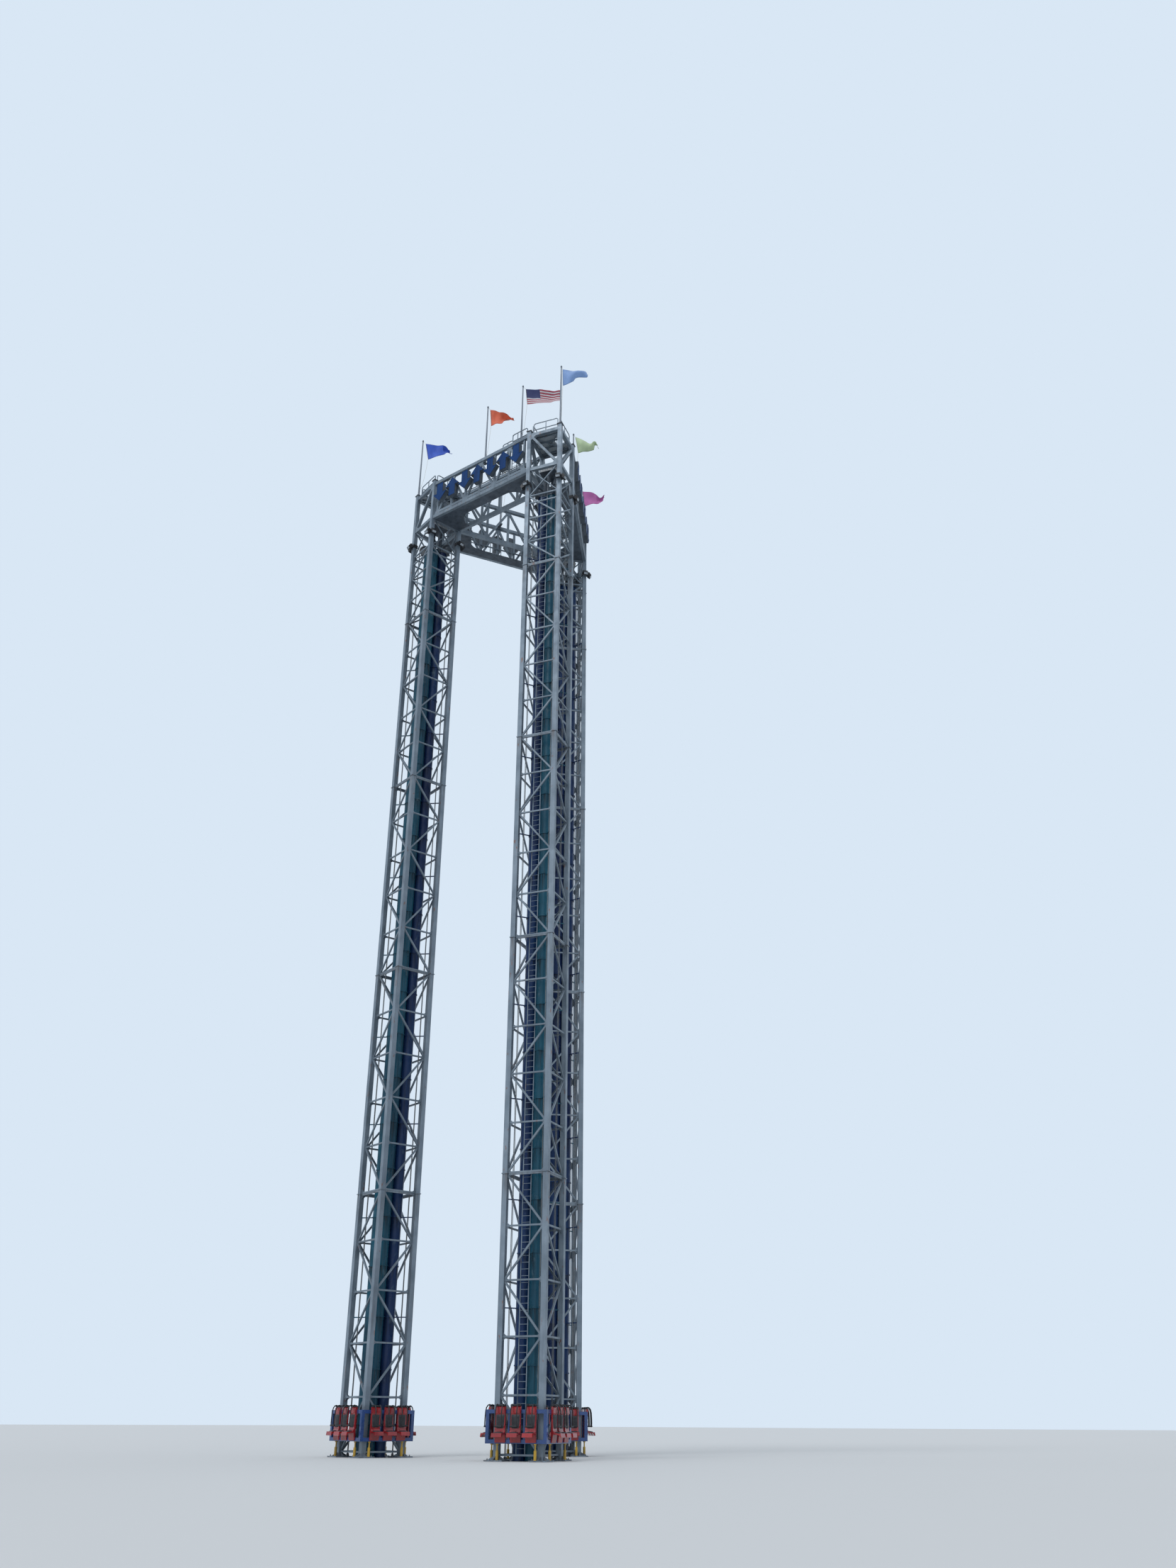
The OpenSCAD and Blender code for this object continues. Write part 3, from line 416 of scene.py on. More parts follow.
section_bolts = Stock()
foot_bolts = Stock()
flange_rim = leg_w / 2 + flange_out / 2
anchor_reach = anchor_radius / math.sqrt(2)
for mast in masts:
    side, beside = square_axes(mast)
    for foot in leg_feet(mast):
        for section in range(1, section_count + 1):
            joint = foot + upright * (first_level + section * section_h)
            for across, along in mast_faces(mast):
                for shift in (-flange_bolt_shift, flange_bolt_shift):
                    spot = joint + across * flange_rim + along * shift
                    for way in (upright, -upright):
                        section_bolts.turned(spot + way * flange_t / 2, way, bolt_head, hexagon)
        for i in (-1, 1):
            for j in (-1, 1):
                hole = foot + anchor_reach * (i * side + j * beside) + upright * foot_t
                foot_bolts.turned(hole, upright, washer, sides=16)
                foot_bolts.turned(hole + upright * washer_t, upright, nut, hexagon)
                foot_bolts.turned(hole + upright * washer_t, upright, stud, sides=12)

bolt_zinc = zinc("bolt_zinc", "7f868c", "62686d", 1.0).material
section_bolts.made("section_bolts", bolt_zinc, "galvanised_leg")
foot_bolts.made("foot_bolts", bolt_zinc, "galvanised_leg")


# Gussets of the lattice
# Small welded plates stiffen the corners between the legs and the level bars of each panel, cut
# from flat steel with a clipped tip.
section_panels = 5
upper_panels = 3
upper_panel_h = 0.1805
gusset_l = 0.017
gusset_t = 0.003
gusset_shape = [(0, 0), (1, 0), (0.55, 0.3), (0.3, 0.55), (0, 1)]
level_bar_half = 0.004
double_bar_half = 0.0086
panel_h = section_h / section_panels
levels = [first_level + i * panel_h for i in range(section_count * section_panels + 1)]
levels += [levels[-1] + upper_panel_h * (i + 1) for i in range(upper_panels)]

lattice_gussets = Stock()
for mast in masts:
    for across, along in mast_faces(mast):
        face = mast_axis[mast] + across * (mast_w / 2 - gusset_t / 2)
        inner = (mast_w - leg_w) / 2
        for i, height in enumerate(levels[1:], 1):
            offset = double_bar_half if i % section_panels == 0 else level_bar_half
            for hand in (-1, 1):
                for up in (-1, 1):
                    corner = face + along * hand * inner + upright * (height + up * offset)
                    outline = [corner - along * hand * gusset_l * x + upright * up * gusset_l * z
                               for x, z in gusset_shape]
                    lattice_gussets.plate(outline, across * gusset_t)
lattice_gussets.made("lattice_gussets", bar_zinc, "galvanised_bar")


# Ladder rungs
# Round bars, a foot apart at full size, welded between the two rails of the ladder inside each
# mast.
ladder_w = 0.042
ladder_in = 0.0915
rung_pitch = 0.03
rung_r = 0.0013
ladder_rungs = Stock()
for mast, azimuth in masts.items():
    towards = polar(1, math.radians(azimuth - 45), 0)
    half_rung = upright.cross(towards) * ladder_w / 2
    height = levels[0] + rung_pitch
    while height < levels[-1]:
        middle = mast_axis[mast] + towards * ladder_in + upright * height
        ladder_rungs.tube([middle - half_rung, middle + half_rung], rung_r, sides=8)
        height += rung_pitch
ladder_rungs.made("ladder_rungs", bar_zinc, "galvanised_bar", smooth=True)


# Air cylinders and their clamps
# Four long steel pipes stand together in each mast, painted navy, with the outer two drawn in a
# lighter blue-green that is painted light, with chalky patches where the paint has faded and grime
# that runs down from every clamp.
clamp_t = 0.005
clamp_low = first_level + panel_h / 2
clamp_stain_l = 0.09


def pipe_paint_and_light(mast):
    """Navy paint on one mast's pipes, with the outer two in a lighter blue-green that is painted
    light
    """
    paint = Surface(f"pipe_paint_and_light_{mast}", rough=0.4)
    paint.shader.inputs["Specular IOR Level"].default_value = 0.3
    navy = paint.blend("10264e", "193a66", paint.noise(5, (1, 1, 0.25), detail=7))
    painted_light_blue_green = paint.blend("124358", "1b576c", paint.noise(6, (1, 1, 0.25), detail=7))
    outwards = square_axes(mast)[0]
    # Painted light: the outer pair of pipes takes the lighter blue-green, a lit copy of the navy
    # paint
    painted_lit_outer_pair = paint.maths("GREATER_THAN", paint.along(outwards), outwards.dot(mast_axis[mast]))
    paint.base(navy, painted_light_blue_green, painted_lit_outer_pair)
    paint.coat("10161d", paint.noise(60, run_marks, low=0.52, high=0.75), 0.6)
    under_clamps = paint.times(paint.below_each(clamp_low, panel_h, clamp_stain_l),
                               paint.noise(110, run_marks, low=0.4, high=0.6))
    paint.coat("0f151b", under_clamps, 0.8)
    paint.coat("5d7480", paint.noise(38, (1, 1, 0.5), low=0.62, high=0.74), 0.45)
    paint.gloss(paint.noise(30, detail=6), 0.26, 0.48)
    paint.emboss(paint.noise(220, detail=2), 0.0001, 0.3)
    return paint.material


for mast in masts:
    dress([f"{mast}_drive_cylinders"], pipe_paint_and_light(mast))

# Two small bolts on the lip of each clamp, at either side of every pipe
pipe_ring = 0.046
lip_r = 0.0325
lip_turn = math.radians(42)
small_bolt = [(0.0012, 0), (0.0012, 0.0008), (0.001, 0.001)]
clamp_bolts = Stock()
for mast, azimuth in masts.items():
    for height in levels[1:-1]:
        for quarter in range(4):
            turn = math.radians(azimuth + 90 * quarter)
            pipe = mast_axis[mast] + polar(pipe_ring, turn, height - panel_h / 2 + clamp_t)
            for hand in (-1, 1):
                spot = pipe + polar(lip_r, turn + hand * lip_turn, 0)
                clamp_bolts.turned(spot, upright, small_bolt, hexagon)
clamp_bolts.made("clamp_bolts", bolt_zinc, "galvanised_bar")


# Hoist ropes, sheaves and exhaust pipes
# Greased steel ropes run over grooved sheaves in slate grey cheeks. Four exhaust pipes end in a
# ribbed silencer box of pale grey sheet, which soot has marked.
wire = Surface("rope_wire", rough=0.38, metal=0.6)
strands = wire.node("ShaderNodeTexWave", wave_type="BANDS", bands_direction="DIAGONAL")
strands.inputs["Scale"].default_value = 420
wire.join(wire.place, strands.inputs["Vector"])
wire.base("a3a8ac", "6f7376", strands.outputs["Fac"])
wire.coat("4a443c", wire.noise(18, run_marks), 0.4)
wire.emboss(strands.outputs["Fac"], 0.0003, 0.9)
dress([f"{mast}_hoist_ropes" for mast in masts], wire.material)

silencer_h = 0.046
silencer_lid = 0.003
silencer_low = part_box("left_sheave_head")[1][2] - silencer_h - silencer_lid
slate = Surface("machine_paint", rough=0.45)
slate.base("3a4450", "4c5763", slate.noise(20, detail=7))
slate.coat("a2a8ad", slate.maths("GREATER_THAN", slate.along((0, 0, 1)), silencer_low), 0.92)
slate.coat("2b2c2e", slate.noise(28, (1, 1, 0.3), detail=8, low=0.42, high=0.85), 0.7)
slate.gloss(slate.noise(40), 0.35, 0.6)
slate.emboss(slate.noise(260, detail=2), 0.0001, 0.3)
dress([f"{mast}_sheave_head" for mast in masts], slate.material)

# Each axle has a washer and a nut outside its two cheeks. Bolts hold the cheeks' feet and the
# flanges of the exhaust pipes to the head plate.
axle_r = 0.079
axle_z = 5.501
head_top = 5.4593
cheek_out = 0.01525
cheek_bolt_out = 0.0167
cheek_bolt_in = 0.012
exhaust_ring = 0.034
exhaust_flange_t = 0.004
flange_bolt_r = 0.011
flange_bolts = 6
axle_washer = [(0.0078, 0), (0.0078, 0.0008)]
axle_nut = [(0.0065, 0.0008), (0.0065, 0.0038), (0.0055, 0.0046)]
head_bolts = Stock()
for mast, azimuth in masts.items():
    for quarter in range(4):
        turn = math.radians(azimuth + 90 * quarter)
        out = polar(1, turn, 0)
        sheave = mast_axis[mast] + out * axle_r
        for beside in (upright.cross(out), -upright.cross(out)):
            axle_end = sheave + beside * cheek_out + upright * axle_z
            head_bolts.turned(axle_end, beside, axle_washer, sides=20)
            head_bolts.turned(axle_end, beside, axle_nut, hexagon)
            for along in (-cheek_bolt_in, cheek_bolt_in):
                spot = sheave + beside * cheek_bolt_out + out * along + upright * head_top
                head_bolts.turned(spot, upright, small_bolt, hexagon)
        pipe = mast_axis[mast] + polar(exhaust_ring, turn + math.pi / 4,
                                       head_top + exhaust_flange_t)
        for i in range(flange_bolts):
            spot = pipe + polar(flange_bolt_r, turn + i * 2 * math.pi / flange_bolts, 0)
            head_bolts.turned(spot, upright, small_bolt, hexagon)
head_bolts.made("head_bolts", bolt_zinc, "machinery_grey")


# Carriages, seats and restraints
# A gloss blue tube frame on guide rollers carries moulded red seats. Each has a padded back and
# pan, and a black foam-covered shoulder restraint.
def enamel(name, fresh, worn, rough):
    """Gloss paint or gel coat, with small worn spots"""
    paint = Surface(name, rough=rough)
    paint.shader.inputs["Coat Weight"].default_value = 0.4
    paint.base(fresh, worn, paint.noise(14, detail=6))
    paint.coat(worn, paint.noise(150, detail=9, low=0.6, high=0.66), 0.8)
    paint.gloss(paint.noise(60), rough * 0.8, rough * 1.3)
    paint.emboss(paint.noise(300, detail=2), 0.00008, 0.25)
    return paint.material


dress([f"{mast}_carriage" for mast in masts], enamel("carriage_enamel", "274a86", "1e3a6b", 0.28))
dress(["ground_buffers"], enamel("buffer_enamel", "c9a227", "9a7b1f", 0.35))
dress(["seats"], enamel("seat_gel_coat", "a3262a", "7e1c20", 0.22))

seat_side = 0.1485
seat_pitch = 0.074
carriage_low = 0.07
pan_up = 0.044
hinge_up = 0.148
pad_w = 0.042
back_pad_up = pan_up + 0.012
back_pad_out = 0.0062
back_pad_h = 0.062
back_pad_crown = 0.005
pan_pad_up = pan_up + 0.0002
pan_pad_out = 0.0145
pan_pad_l = 0.025
pan_pad_crown = 0.004
pan_run = 0.0255
pan_fall = 0.0036
pad_steps = 10
channel_up = 0.3
channel_w = 0.09
channel_depth = 0.45

# The restraint's arms and cross bars, as (out, up) from the lower edge of the seat's back
arm = [(0.003, hinge_up + 0.006), (0.010, hinge_up + 0.0085), (0.018, hinge_up + 0.006),
       (0.025, hinge_up - 0.003), (0.029, hinge_up - 0.018), (0.031, pan_up + 0.055),
       (0.0315, pan_up + 0.038), (0.031, pan_up + 0.024)]
arm_half_gap = 0.015
arm_r = 0.0026
lap_bar = (0.031, pan_up + 0.024, 0.0185, 0.004)
hinge_block = (0.005, hinge_up + 0.0045, 0.0245, 0.0044)


def seat_places():
    """The middle of each seat's back at the carriage's lower edge, with its directions"""
    for mast in masts:
        side, beside = square_axes(mast)
        for out in (side, beside, -side, -beside):
            along = upright.cross(out)
            for i in (-1, 0, 1):
                spot = mast_axis[mast] + out * seat_side + along * i * seat_pitch
                yield spot + upright * carriage_low, out, along


def crowned_pad(stock, foot, along, up, out, height, crown):
    """A stuffed pad that is fullest in the middle, with two channels sewn across it"""
    start = len(stock.points)
    row = pad_steps + 1
    for i in range(row):
        for j in range(row):
            u, v = 2 * i / pad_steps - 1, 2 * j / pad_steps - 1
            full = ((1 - u ** 4) * (1 - v ** 4)) ** 0.5
            channel = channel_depth * math.exp(-((abs(v) - channel_up) / channel_w) ** 2)
            place = foot + along * u * pad_w / 2 + up * (v + 1) * height / 2
            stock.points.append(place + out * crown * full * (1 - channel))
    for i in range(pad_steps):
        for j in range(pad_steps):
            a = start + i * row + j
            stock.faces.append((a, a + row, a + row + 1, a + 1))
    last = pad_steps * row
    rim = [*range(0, last, row), *range(last, last + pad_steps),
           *range(last + pad_steps, pad_steps, -row), *range(pad_steps, 0, -1)]
    stock.faces.append(tuple(start + i for i in reversed(rim)))


seat_pads = Stock()
shoulder_bars = Stock()
for spot, out, along in seat_places():
    back = spot + upright * back_pad_up + out * back_pad_out
    crowned_pad(seat_pads, back, along, upright, out, back_pad_h, back_pad_crown)
    pan = spot + upright * pan_pad_up + out * pan_pad_out
    slope = (out * pan_run - upright * pan_fall).normalized()
    crowned_pad(seat_pads, pan, along, slope, -along.cross(slope), pan_pad_l, pan_pad_crown)
    for hand in (-1, 1):
        path = [spot + out * x + upright * z + along * hand * arm_half_gap for x, z in arm]
        shoulder_bars.tube(path, arm_r, sides=10)
    for x, z, half_l, bar_r in (lap_bar, hinge_block):
        middle = spot + out * x + upright * z
        shoulder_bars.tube([middle - along * half_l, middle + along * half_l], bar_r, sides=12)

vinyl = Surface("pad_vinyl", rough=0.5)
vinyl.base("26272b", "34363c", vinyl.noise(90, detail=7))
vinyl.emboss(vinyl.cells(900), 0.0002, 0.4)
pads = seat_pads.made("seat_pads", vinyl.material, "restraint_black", smooth=True)

foam = Surface("restraint_foam", rough=0.6)
foam.base("1c1d20", "2a2b2f", foam.noise(120, detail=6))
foam.emboss(foam.noise(500, detail=2), 0.00015, 0.4)
bars = shoulder_bars.made("shoulder_bars", foam.material, "restraint_black", smooth=True)
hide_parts("restraints")


# Platform decks, walkway plates and leg caps
# The decks are galvanised plate with a raised tread, coloured pale as painted light on their
# shaded undersides. The walkways are dark painted plate, in the shade for most of the day, with
# paler dust streaks under the beams.
chord_half = 0.012
deck_t = 0.003
deck_reach = 0.55 * deck_t
tread_pitch = 0.004
ring_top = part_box("front_beam_outer_truss")[1][2]
deck_level = ring_top - chord_half
deck = zinc("deck_zinc", "7f8d99", "66737f", 0.5)
in_deck = deck.maths("COMPARE", deck.along(upright), deck_level + deck_t / 2, deck_reach)
# Painted light: the deck plate is coloured near white so that its shaded underside shows bright
deck.coat("b9c1c7", in_deck, 0.9)
lugs = [deck.maths("SINE", deck.times(deck.along(way), 2 * math.pi / tread_pitch))
        for way in ((1, 1, 0), (1, -1, 0))]
deck.emboss(deck.times(deck.times(*lugs), in_deck), 0.0004, 0.8)
dress(["mast_platforms"], deck.material)


def dark_paint(name, colour, dust):
    """Matt paint with dust on it and darker streaks"""
    paint = Surface(name, rough=0.6)
    paint.base(colour, dust, paint.noise(12, detail=8))
    paint.coat("1f2831", paint.noise(40, detail=6, low=0.5, high=0.7), 0.6)
    paint.gloss(paint.noise(30), 0.5, 0.75)
    paint.emboss(paint.cells(500), 0.0001, 0.3)
    return paint.material


dress([f"{beam}_beam_soffit" for beam in beams], dark_paint("walkway_plate", "37424e", "46525f"))
dress(["leg_caps"], dark_paint("cap_paint", "3b3d43", "4d4f55"))


# Signs
# Arrows, up and down in turn: folded boxes of dark grey sheet with a blue face and a raised rim,
# in satin paint that has chalked a little.
arrow_count = 7
arrow_h = 0.15
arrow_w = 0.116
arrow_head_h = 0.068
shaft_w = 0.052
rim_w = 0.004
rim_up = 0.002
face_up = 0.001
sign_paint = Surface("sign_paint", rough=0.35)
sign_paint.shader.inputs["Specular IOR Level"].default_value = 0.12
sign_paint.base("0b3468", "123f75", sign_paint.noise(10, (1, 1, 0.4), detail=7))
sign_paint.coat("0a2750", sign_paint.noise(50, run_marks, low=0.5, high=0.7), 0.6)
sign_paint.gloss(sign_paint.noise(35), 0.28, 0.5)
sign_paint.emboss(sign_paint.noise(200, detail=2), 0.0001, 0.25)
sign_returns = Surface("sign_returns", rough=0.55)
sign_returns.base("454f59", "5a646e", sign_returns.noise(25, run_marks, detail=7))
sign_returns.emboss(sign_returns.noise(260, detail=2), 0.0001, 0.25)
dress([f"{beam}_sign" for beam in beams], sign_returns.material)

shoulder_z = arrow_h - arrow_head_h
arrow = [(-shaft_w / 2, 0), (shaft_w / 2, 0), (shaft_w / 2, shoulder_z), (arrow_w / 2, shoulder_z),
         (0, arrow_h), (-arrow_w / 2, shoulder_z), (-shaft_w / 2, shoulder_z)]


def inset(outline, width):
    """The same outline moved inwards by a width"""
    moved = []
    count = len(outline)
    for i in range(count):
        before, here, after = (Vector((*outline[(i + k) % count], 0)) for k in (-1, 0, 1))
        inward = upright.cross((here - before).normalized())
        next_inward = upright.cross((after - here).normalized())
        both = (inward + next_inward).normalized()
        moved.append(tuple((here + both * width / both.dot(inward))[:2]))
    return moved


sign_low, sign_high = (Vector(corner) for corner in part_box("front_sign"))
sign_face = -sign_low.y
sign_span = sign_high.x - sign_low.x - arrow_w


def on_sign(outline, middle, along, points_down):
    """Points of an arrow, from (along, up) pairs, in the place where it hangs"""
    spots = [middle + along * x + upright * (sign_low.z + (arrow_h - z if points_down else z))
             for x, z in outline]
    return spots[::-1] if points_down else spots


sign_faces = Stock()
inner_arrow = inset(arrow, rim_w)
for azimuth in beams.values():
    out = polar(1, math.radians(azimuth), 0)
    along = upright.cross(out)
    for i in range(arrow_count):
        middle = out * sign_face + along * (i / (arrow_count - 1) - 0.5) * sign_span
        place = (middle, along, i % 2 == 0)
        sign_faces.plate(on_sign(arrow, *place), out * face_up)
        for k in range(len(arrow)):
            after = (k + 1) % len(arrow)
            strip = [arrow[k], arrow[after], inner_arrow[after], inner_arrow[k]]
            sign_faces.plate(on_sign(strip, *place), out * rim_up)
sign_faces.made("sign_faces", sign_paint.material, "sign_blue")


# Floodlights
# Black cast housings in pairs on leg collars. Each has a flat toughened glass behind a bezel that
# four screws hold.
lamp_black = Surface("lamp_black", rough=0.5)
lamp_black.base("15161a", "26282d", lamp_black.noise(60, detail=7))
lamp_black.emboss(lamp_black.noise(350, detail=3), 0.0001, 0.5)
dress(["floodlights"], lamp_black.material)

leg_ring = mast_w / math.sqrt(2)
ring_h = 0.29
legs_above_ring = 0.033
lamp_drop = 0.132
lamp_foot = 0.004
leg_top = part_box("left_mast_legs")[1][2]
lamp_z = leg_top - legs_above_ring - ring_h - lamp_drop - lamp_foot
lamp_x = 0.015
lamp_w = 0.032
lamp_turn = math.radians(38)
glass_foot = (0.024, -0.012)
glass_head = (0.034, 0.004)
bezel_w = 0.0026
bezel_t = 0.001
bezel_screw = [(0.0008, 0), (0.0006, 0.0005)]


def glass_frame(leg, turn):
    """The middle of a lamp's glass, with its directions across, up and out, and half its height"""
    out = polar(1, turn, 0)
    foot, head = (leg + out * (lamp_x + x) + upright * (lamp_z + z)
                  for x, z in (glass_foot, glass_head))
    up = (head - foot).normalized()
    across = upright.cross(out)
    return (foot + head) / 2, across, up, across.cross(up), (head - foot).length / 2


lamp_bezels = Stock()
lamp_glass = Stock()
half_w = lamp_w / 2
for mast, azimuth in masts.items():
    for quarter in range(4):
        turn = math.radians(azimuth + 90 * quarter)
        leg = mast_axis[mast] + polar(leg_ring, turn, 0)
        for hand in (-1, 1):
            middle, across, up, out, half_h = glass_frame(leg, turn + hand * lamp_turn)
            pane_w, pane_h = half_w - bezel_w, half_h - bezel_w
            for x0, x1, z0, z1 in ((-half_w, half_w, -half_h, -pane_h),
                                   (-half_w, half_w, pane_h, half_h),
                                   (-half_w, -pane_w, -pane_h, pane_h),
                                   (pane_w, half_w, -pane_h, pane_h)):
                bar = [middle + across * x + up * z
                       for x, z in ((x0, z0), (x1, z0), (x1, z1), (x0, z1))]
                lamp_bezels.plate(bar, out * bezel_t)
            for x in (-1, 1):
                for z in (-1, 1):
                    spot = middle + across * x * (half_w - bezel_w / 2)
                    spot += up * z * (half_h - bezel_w / 2) + out * bezel_t
                    lamp_bezels.turned(spot, out, bezel_screw, sides=12)
            pane = [middle + across * x * pane_w + up * z * pane_h
                    for x, z in ((-1, -1), (1, -1), (1, 1), (-1, 1))]
            lamp_glass.plate(pane, out * bezel_t / 2)
lamp_bezels.made("lamp_bezels", lamp_black.material, "lamp_black")
pane_finish = Surface("lamp_pane", rough=0.08)
pane_finish.base("8c97a2", "a5afb8", pane_finish.noise(40, detail=5))
pane_finish.gloss(pane_finish.noise(90), 0.05, 0.2)
lamp_glass.made("lamp_glass", pane_finish.material, "lamp_black")


# Flagpoles and halyards
# Tapered grey aluminium tubes with a truck and a ball on top. A white braided halyard leaves the
# truck, carries the flag's hoist edge clear of the pole and comes back to a cleat.
pole_metal = Surface("pole_metal", rough=0.42, metal=0.4)
pole_metal.base("79818b", "616872", pole_metal.noise(40, run_marks, detail=7))
pole_metal.gloss(pole_metal.noise(50, run_marks), 0.32, 0.55)
pole_metal.emboss(pole_metal.noise(400, (1, 1, 0.05)), 0.0001, 0.3)
dress(["flagpoles"], pole_metal.material)

mast_r = 0.568
wind = math.radians(35.7)
downwind = polar(1, wind, 0)
crosswind = upright.cross(downwind)
pole_h = 0.5
pole_foot_r = 0.0065
pole_top_r = 0.004
truck_up = pole_h - 0.006
hoist_up = pole_h - 0.022
cleat_up = 0.06
halyard_r = 0.0008
slack_out = 0.6
slack_up = 0.09
pennant_l = 0.185
pennant_h = 0.148
pennant_tail = 0.044
large_l = 0.236
large_h = 0.138
pole_back = 0.04
extra_pole_back = 0.026
extra_pole_in = 0.095

cap_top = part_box("leg_caps")[1][2]
beam_out = mast_r / 2 + leg_ring * math.cos(math.radians(30))
beam_half = mast_r * math.sin(math.radians(60)) - leg_ring / 2
poles = {"extra": Vector((beam_half - extra_pole_in, extra_pole_back - beam_out, ring_top))}
for mast, azimuth in masts.items():
    poles[f"{mast}_mast"] = polar(mast_r + leg_ring, math.radians(azimuth), cap_top)
for beam, azimuth in beams.items():
    poles[f"{beam}_beam"] = polar(beam_out - pole_back, math.radians(azimuth), ring_top)

# How far each flag's hoist edge is from its pole, at the top and at the bottom
hoists = {
    "left_mast": (0.020, 0.046), "right_mast": (0.008, 0.012), "rear_mast": (0.016, 0.028),
    "front_beam": (0.016, 0.027), "right_beam": (0.012, 0.034), "rear_beam": (0.016, 0.028),
    "extra": (0.019, 0.032)}


def eased(a, b, c, d, t):
    """A smooth step from b to c, on a line that comes from a and goes on to d"""
    return 0.5 * (2 * b + (c - a) * t + (2 * a - 5 * b + 4 * c - d) * t * t
                  + (3 * b - a - 3 * c + d) * t ** 3)


def curve_through(points, steps=8):
    """A smooth line through points in one plane, as (distance, height) pairs"""
    ends = [Vector(point) for point in [points[0], *points, points[-1]]]
    line = [eased(*ends[i - 1:i + 3], k / steps)
            for i in range(1, len(ends) - 2) for k in range(steps)]
    return line + [ends[-1]]


halyards = Stock()
for pole, foot in poles.items():
    top_out, low_out = hoists[pole]
    flag_low = hoist_up - (large_h if pole == "extra" else pennant_h)
    cleat_r = pole_foot_r + (pole_top_r - pole_foot_r) * cleat_up / pole_h
    upper = [(pole_top_r, truck_up), (top_out, hoist_up)]
    slack = (low_out * slack_out, cleat_up + slack_up)
    lower = [(low_out, flag_low), slack, (cleat_r, cleat_up)]
    run = upper + curve_through(lower)
    halyards.tube([foot + downwind * x + upright * z for x, z in run], halyard_r, sides=6)
braid = Surface("halyard_braid", rough=0.8)
braid.base("d8d6cc", "a9a698", braid.noise(300, detail=4))
braid.emboss(braid.noise(900, detail=2), 0.0002, 0.5)
lines = halyards.made("halyard_lines", braid.material, "halyard_cord", smooth=True)
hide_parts("halyards")


# Flags
# Knitted polyester that streams in a fresh breeze. The pennants taper to their tails, and the
# large flag is square cut, with stripes and a dark upper quarter.
cloth_t = 0.0004
flag_clear = 0.0011
columns = 60
rows = 18
ripple_size = 0.3
ripple_count = 2.3
ripple_start = 1.1
wave_growth = 0.7
roll_depth = 0.64
most_shown = 0.995
least_step = 0.2
hem_fly = (0.035, 0.97)
hem_rise = (0.04, 0.96)


def value_at(values, u):
    """A smooth value between evenly spaced ones, with u from 0 to 1"""
    place = u * (len(values) - 1)
    i = min(int(place), len(values) - 2)
    near = [values[min(max(i + k, 0), len(values) - 1)] for k in (-1, 0, 1, 2)]
    return eased(*near, place - i)


def flag_mesh(name, pole, cloth, cut_size, edges, swing, waves, phase, slant, roll_out, lean=0):
    """A flag cut to a flat size, bent into travelling waves with its length kept in every row"""
    length, height, tail = cut_size
    upper_edge, lower_edge = edges
    top_out, low_out = hoists[pole]
    spots = []
    for j in range(rows + 1):
        v = j / rows
        x = top_out + (low_out - top_out) * v + flag_clear
        last = None
        for i in range(columns + 1):
            u = i / columns
            tall = height + (tail - height) * u
            flat_z = (0.5 - v) * tall - height / 2
            start, end = value_at(upper_edge, u), value_at(lower_edge, u)
            shown = min(end - start, most_shown * tall)
            z = -(start + end - shown) / 2 - shown * v

            # A long wave and a ripple that grow from the hoist, and a roll that takes up the rest
            beat = 2 * math.pi * (waves * u + slant * (v - 0.5) + phase)
            free = u ** wave_growth
            y = swing * free * (math.sin(beat) - (1 - u) * math.sin(2 * math.pi * phase))
            y += ripple_size * swing * free * math.sin(ripple_count * beat + ripple_start)
            rolled = roll_depth * shown * math.sqrt(tall / shown - 1)
            y += roll_out * rolled * math.sin(math.pi * v) + lean * u * v
            if last is not None:
                cut = math.hypot(length / columns, flat_z - last[2])
                gone = math.hypot(y - last[0], z - last[1])
                x += math.sqrt(max(cut * cut - gone * gone, (least_step * cut) ** 2))
            last = (y, z, flat_z)
            spots.append(poles[pole] + downwind * x + crosswind * y + upright * (hoist_up + z))
    row = columns + 1
    mesh = bpy.data.meshes.new(name)
    quads = [(j * row + i, (j + 1) * row + i, (j + 1) * row + i + 1, j * row + i + 1)
             for j in range(rows) for i in range(columns)]
    mesh.from_pydata([tuple(point) for point in spots], [], quads)
    cut_places = mesh.uv_layers.new(name="cut")
    for loop in mesh.loops:
        j, i = divmod(loop.vertex_index, row)
        cut_places.data[loop.index].uv = (i / columns, 1 - j / rows)
    piece = bpy.data.objects.new(name, mesh)
    bpy.context.scene.collection.objects.link(piece)
    thick = piece.modifiers.new("cloth", "SOLIDIFY")
    thick.thickness = cloth_t
    thick.offset = 0
    bpy.context.view_layer.update()
    thickened = piece.evaluated_get(bpy.context.evaluated_depsgraph_get())
    piece.data = bpy.data.meshes.new_from_object(thickened)
    piece.modifiers.clear()
    piece.data.shade_smooth()
    piece.data.materials.clear()
    piece.data.materials.append(cloth)
    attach(piece, "root")
    return piece


def flag_cloth(name, colour, shade):
    """Thin knit with hems that show darker, and masks for how far along and up the cut it is"""
    cloth = Surface(name, rough=0.75)
    cloth.shader.inputs["Sheen Weight"].default_value = 0.25
    cloth.base(colour, shade, cloth.times(cloth.noise(22, detail=4), 0.5))
    cut = cloth.node("ShaderNodeUVMap", uv_map="cut")
    split = cloth.node("ShaderNodeSeparateXYZ")
    cloth.join(cut.outputs["UV"], split.inputs[0])
    fly, rise = split.outputs["X"], split.outputs["Y"]
    hem = None
    for place, (low, high) in ((fly, hem_fly), (rise, hem_rise)):
        for test, bound in (("LESS_THAN", low), ("GREATER_THAN", high)):
            edge = cloth.maths(test, place, bound)
            hem = edge if hem is None else cloth.maths("MAXIMUM", hem, edge)
    cloth.coat(shade, hem, 0.7)
    cloth.emboss(cloth.noise(1400, detail=2), 0.0001, 0.4)
    return cloth, fly, rise


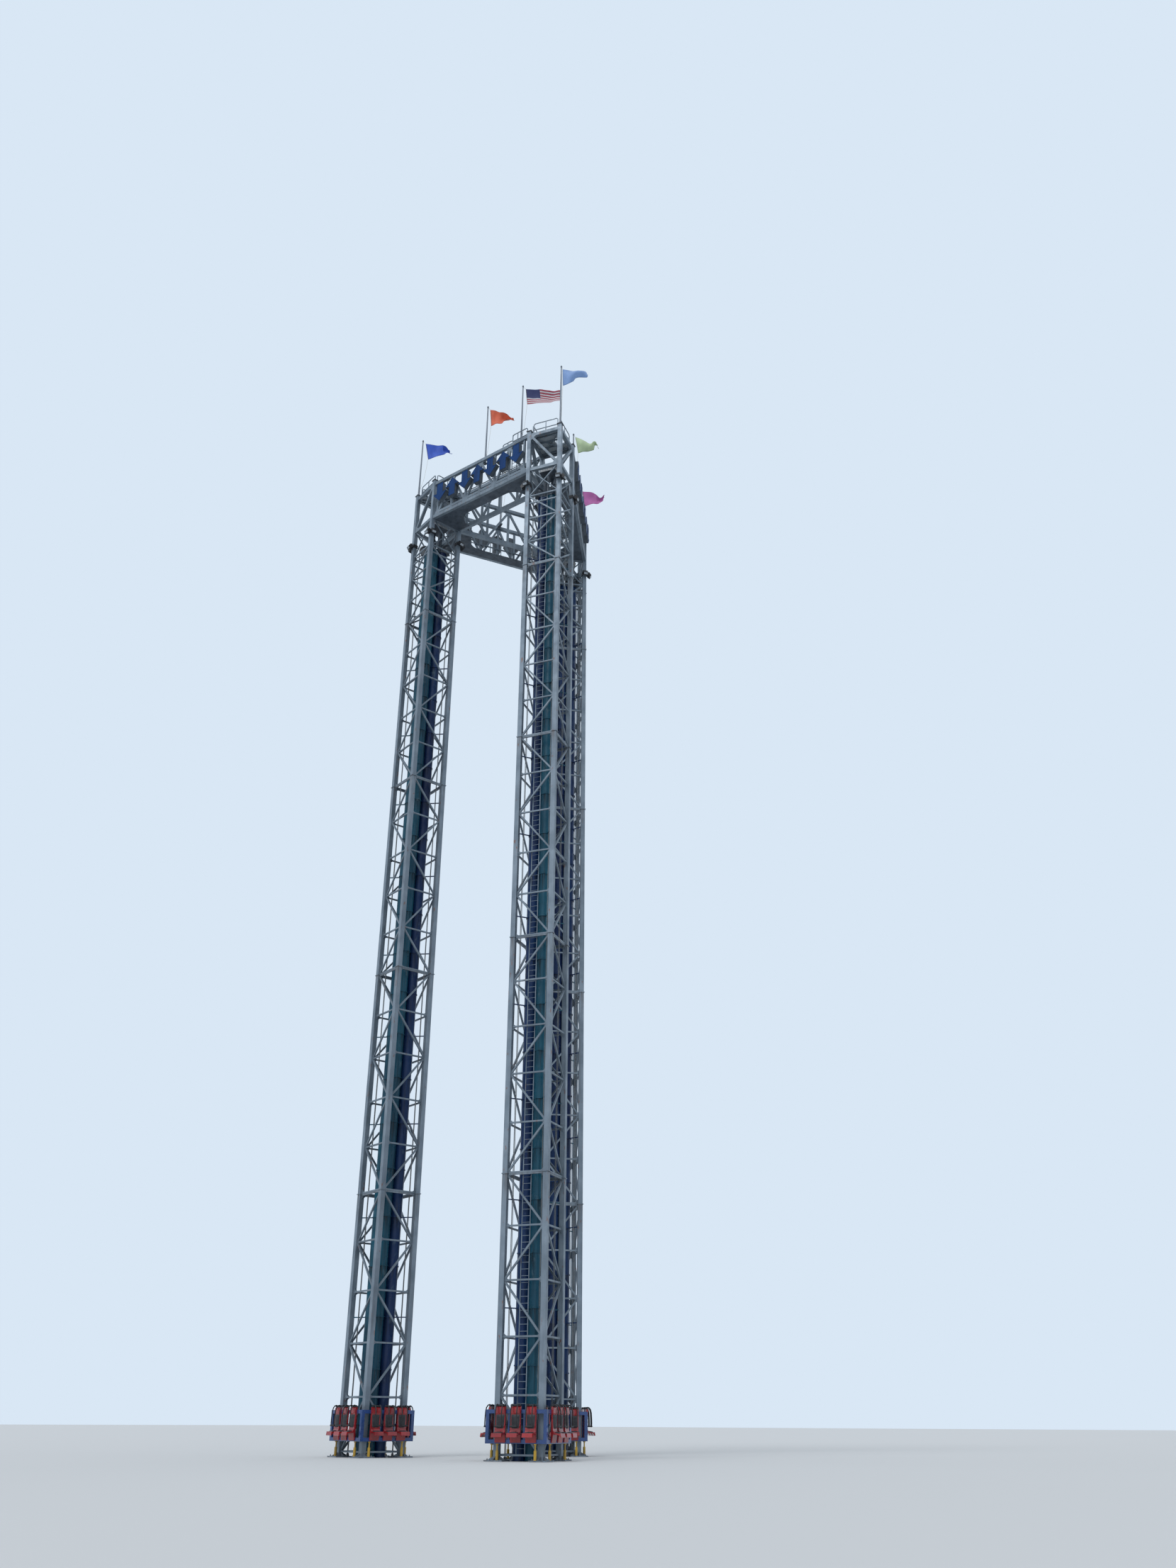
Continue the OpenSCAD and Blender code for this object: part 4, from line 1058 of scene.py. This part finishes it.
# Each pennant has its colours, the heights of its upper and lower edge below the hoist's top at
# even steps along it, and the size, count, start, slant and roll of its waves.
pennants = {
    "left_mast": ("2b58c6", "20449e", (0, 0.006, 0.0135, 0.0165, 0.030, 0.058),
                  (0.148, 0.131, 0.119, 0.106, 0.080, 0.086), 0.007, 1.15, 0.10, 0.35, 1),
    "right_mast": ("80a2d6", "6a8aba", (0, 0.008, 0.018, 0.017, 0.018, 0.047),
                   (0.148, 0.133, 0.112, 0.080, 0.068, 0.074), 0.006, 1.05, 0.30, 0.30, -1),
    "rear_mast": ("b665a8", "8f4c84", (0, 0.006, 0.012, 0.033, 0.056, 0.037),
                  (0.148, 0.131, 0.116, 0.116, 0.096, 0.057), 0.007, 1.20, 0.55, 0.30, 1),
    "front_beam": ("dc6848", "b24f36", (0, 0.0075, 0.027, 0.033, 0.056, 0.078),
                   (0.148, 0.131, 0.126, 0.094, 0.091, 0.100), 0.008, 1.60, 0.20, 0.45, 1),
    "right_beam": ("b6cca6", "92a683", (0, 0.016, 0.034, 0.053, 0.047, 0.077),
                   (0.148, 0.133, 0.128, 0.120, 0.078, 0.100), 0.007, 1.35, 0.65, 0.40, -1),
    "rear_beam": ("dfc26a", "b4994c", (0, 0.008, 0.016, 0.022, 0.036, 0.060),
                  (0.148, 0.132, 0.118, 0.104, 0.084, 0.088), 0.007, 1.25, 0.85, 0.35, 1)}
for pole, (colour, shade, upper_edge, lower_edge, *motion) in pennants.items():
    cloth = flag_cloth(f"{pole}_cloth", colour, shade)[0]
    flag = flag_mesh(f"{pole}_pennant", pole, cloth.material, (pennant_l, pennant_h, pennant_tail),
                     (upper_edge, lower_edge), *motion)
    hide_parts("pennants")

stripe_count = 13
quarter_l = 0.4
quarter_stripes = 7
large_edges = ((0, 0.003, 0.006, 0.010, 0.012, 0.013), (0.138, 0.138, 0.137, 0.136, 0.135, 0.134))
striped, fly, rise = flag_cloth("striped_cloth", "cfcbd0", "b0acb4")
stripe = striped.maths("FRACT", striped.times(rise, stripe_count / 2))
striped.coat("962a40", striped.maths("LESS_THAN", stripe, 0.5))
near_hoist = striped.maths("LESS_THAN", fly, quarter_l)
near_top = striped.maths("GREATER_THAN", rise, 1 - quarter_stripes / stripe_count)
striped.coat("1f2c5e", striped.times(near_hoist, near_top))
large_flag = flag_mesh("striped_flag", "extra", striped.material, (large_l, large_h, large_h),
                       large_edges, 0.006, 1.6, 0.15, 0.25, 1, lean=-0.03)
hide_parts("large_flag")
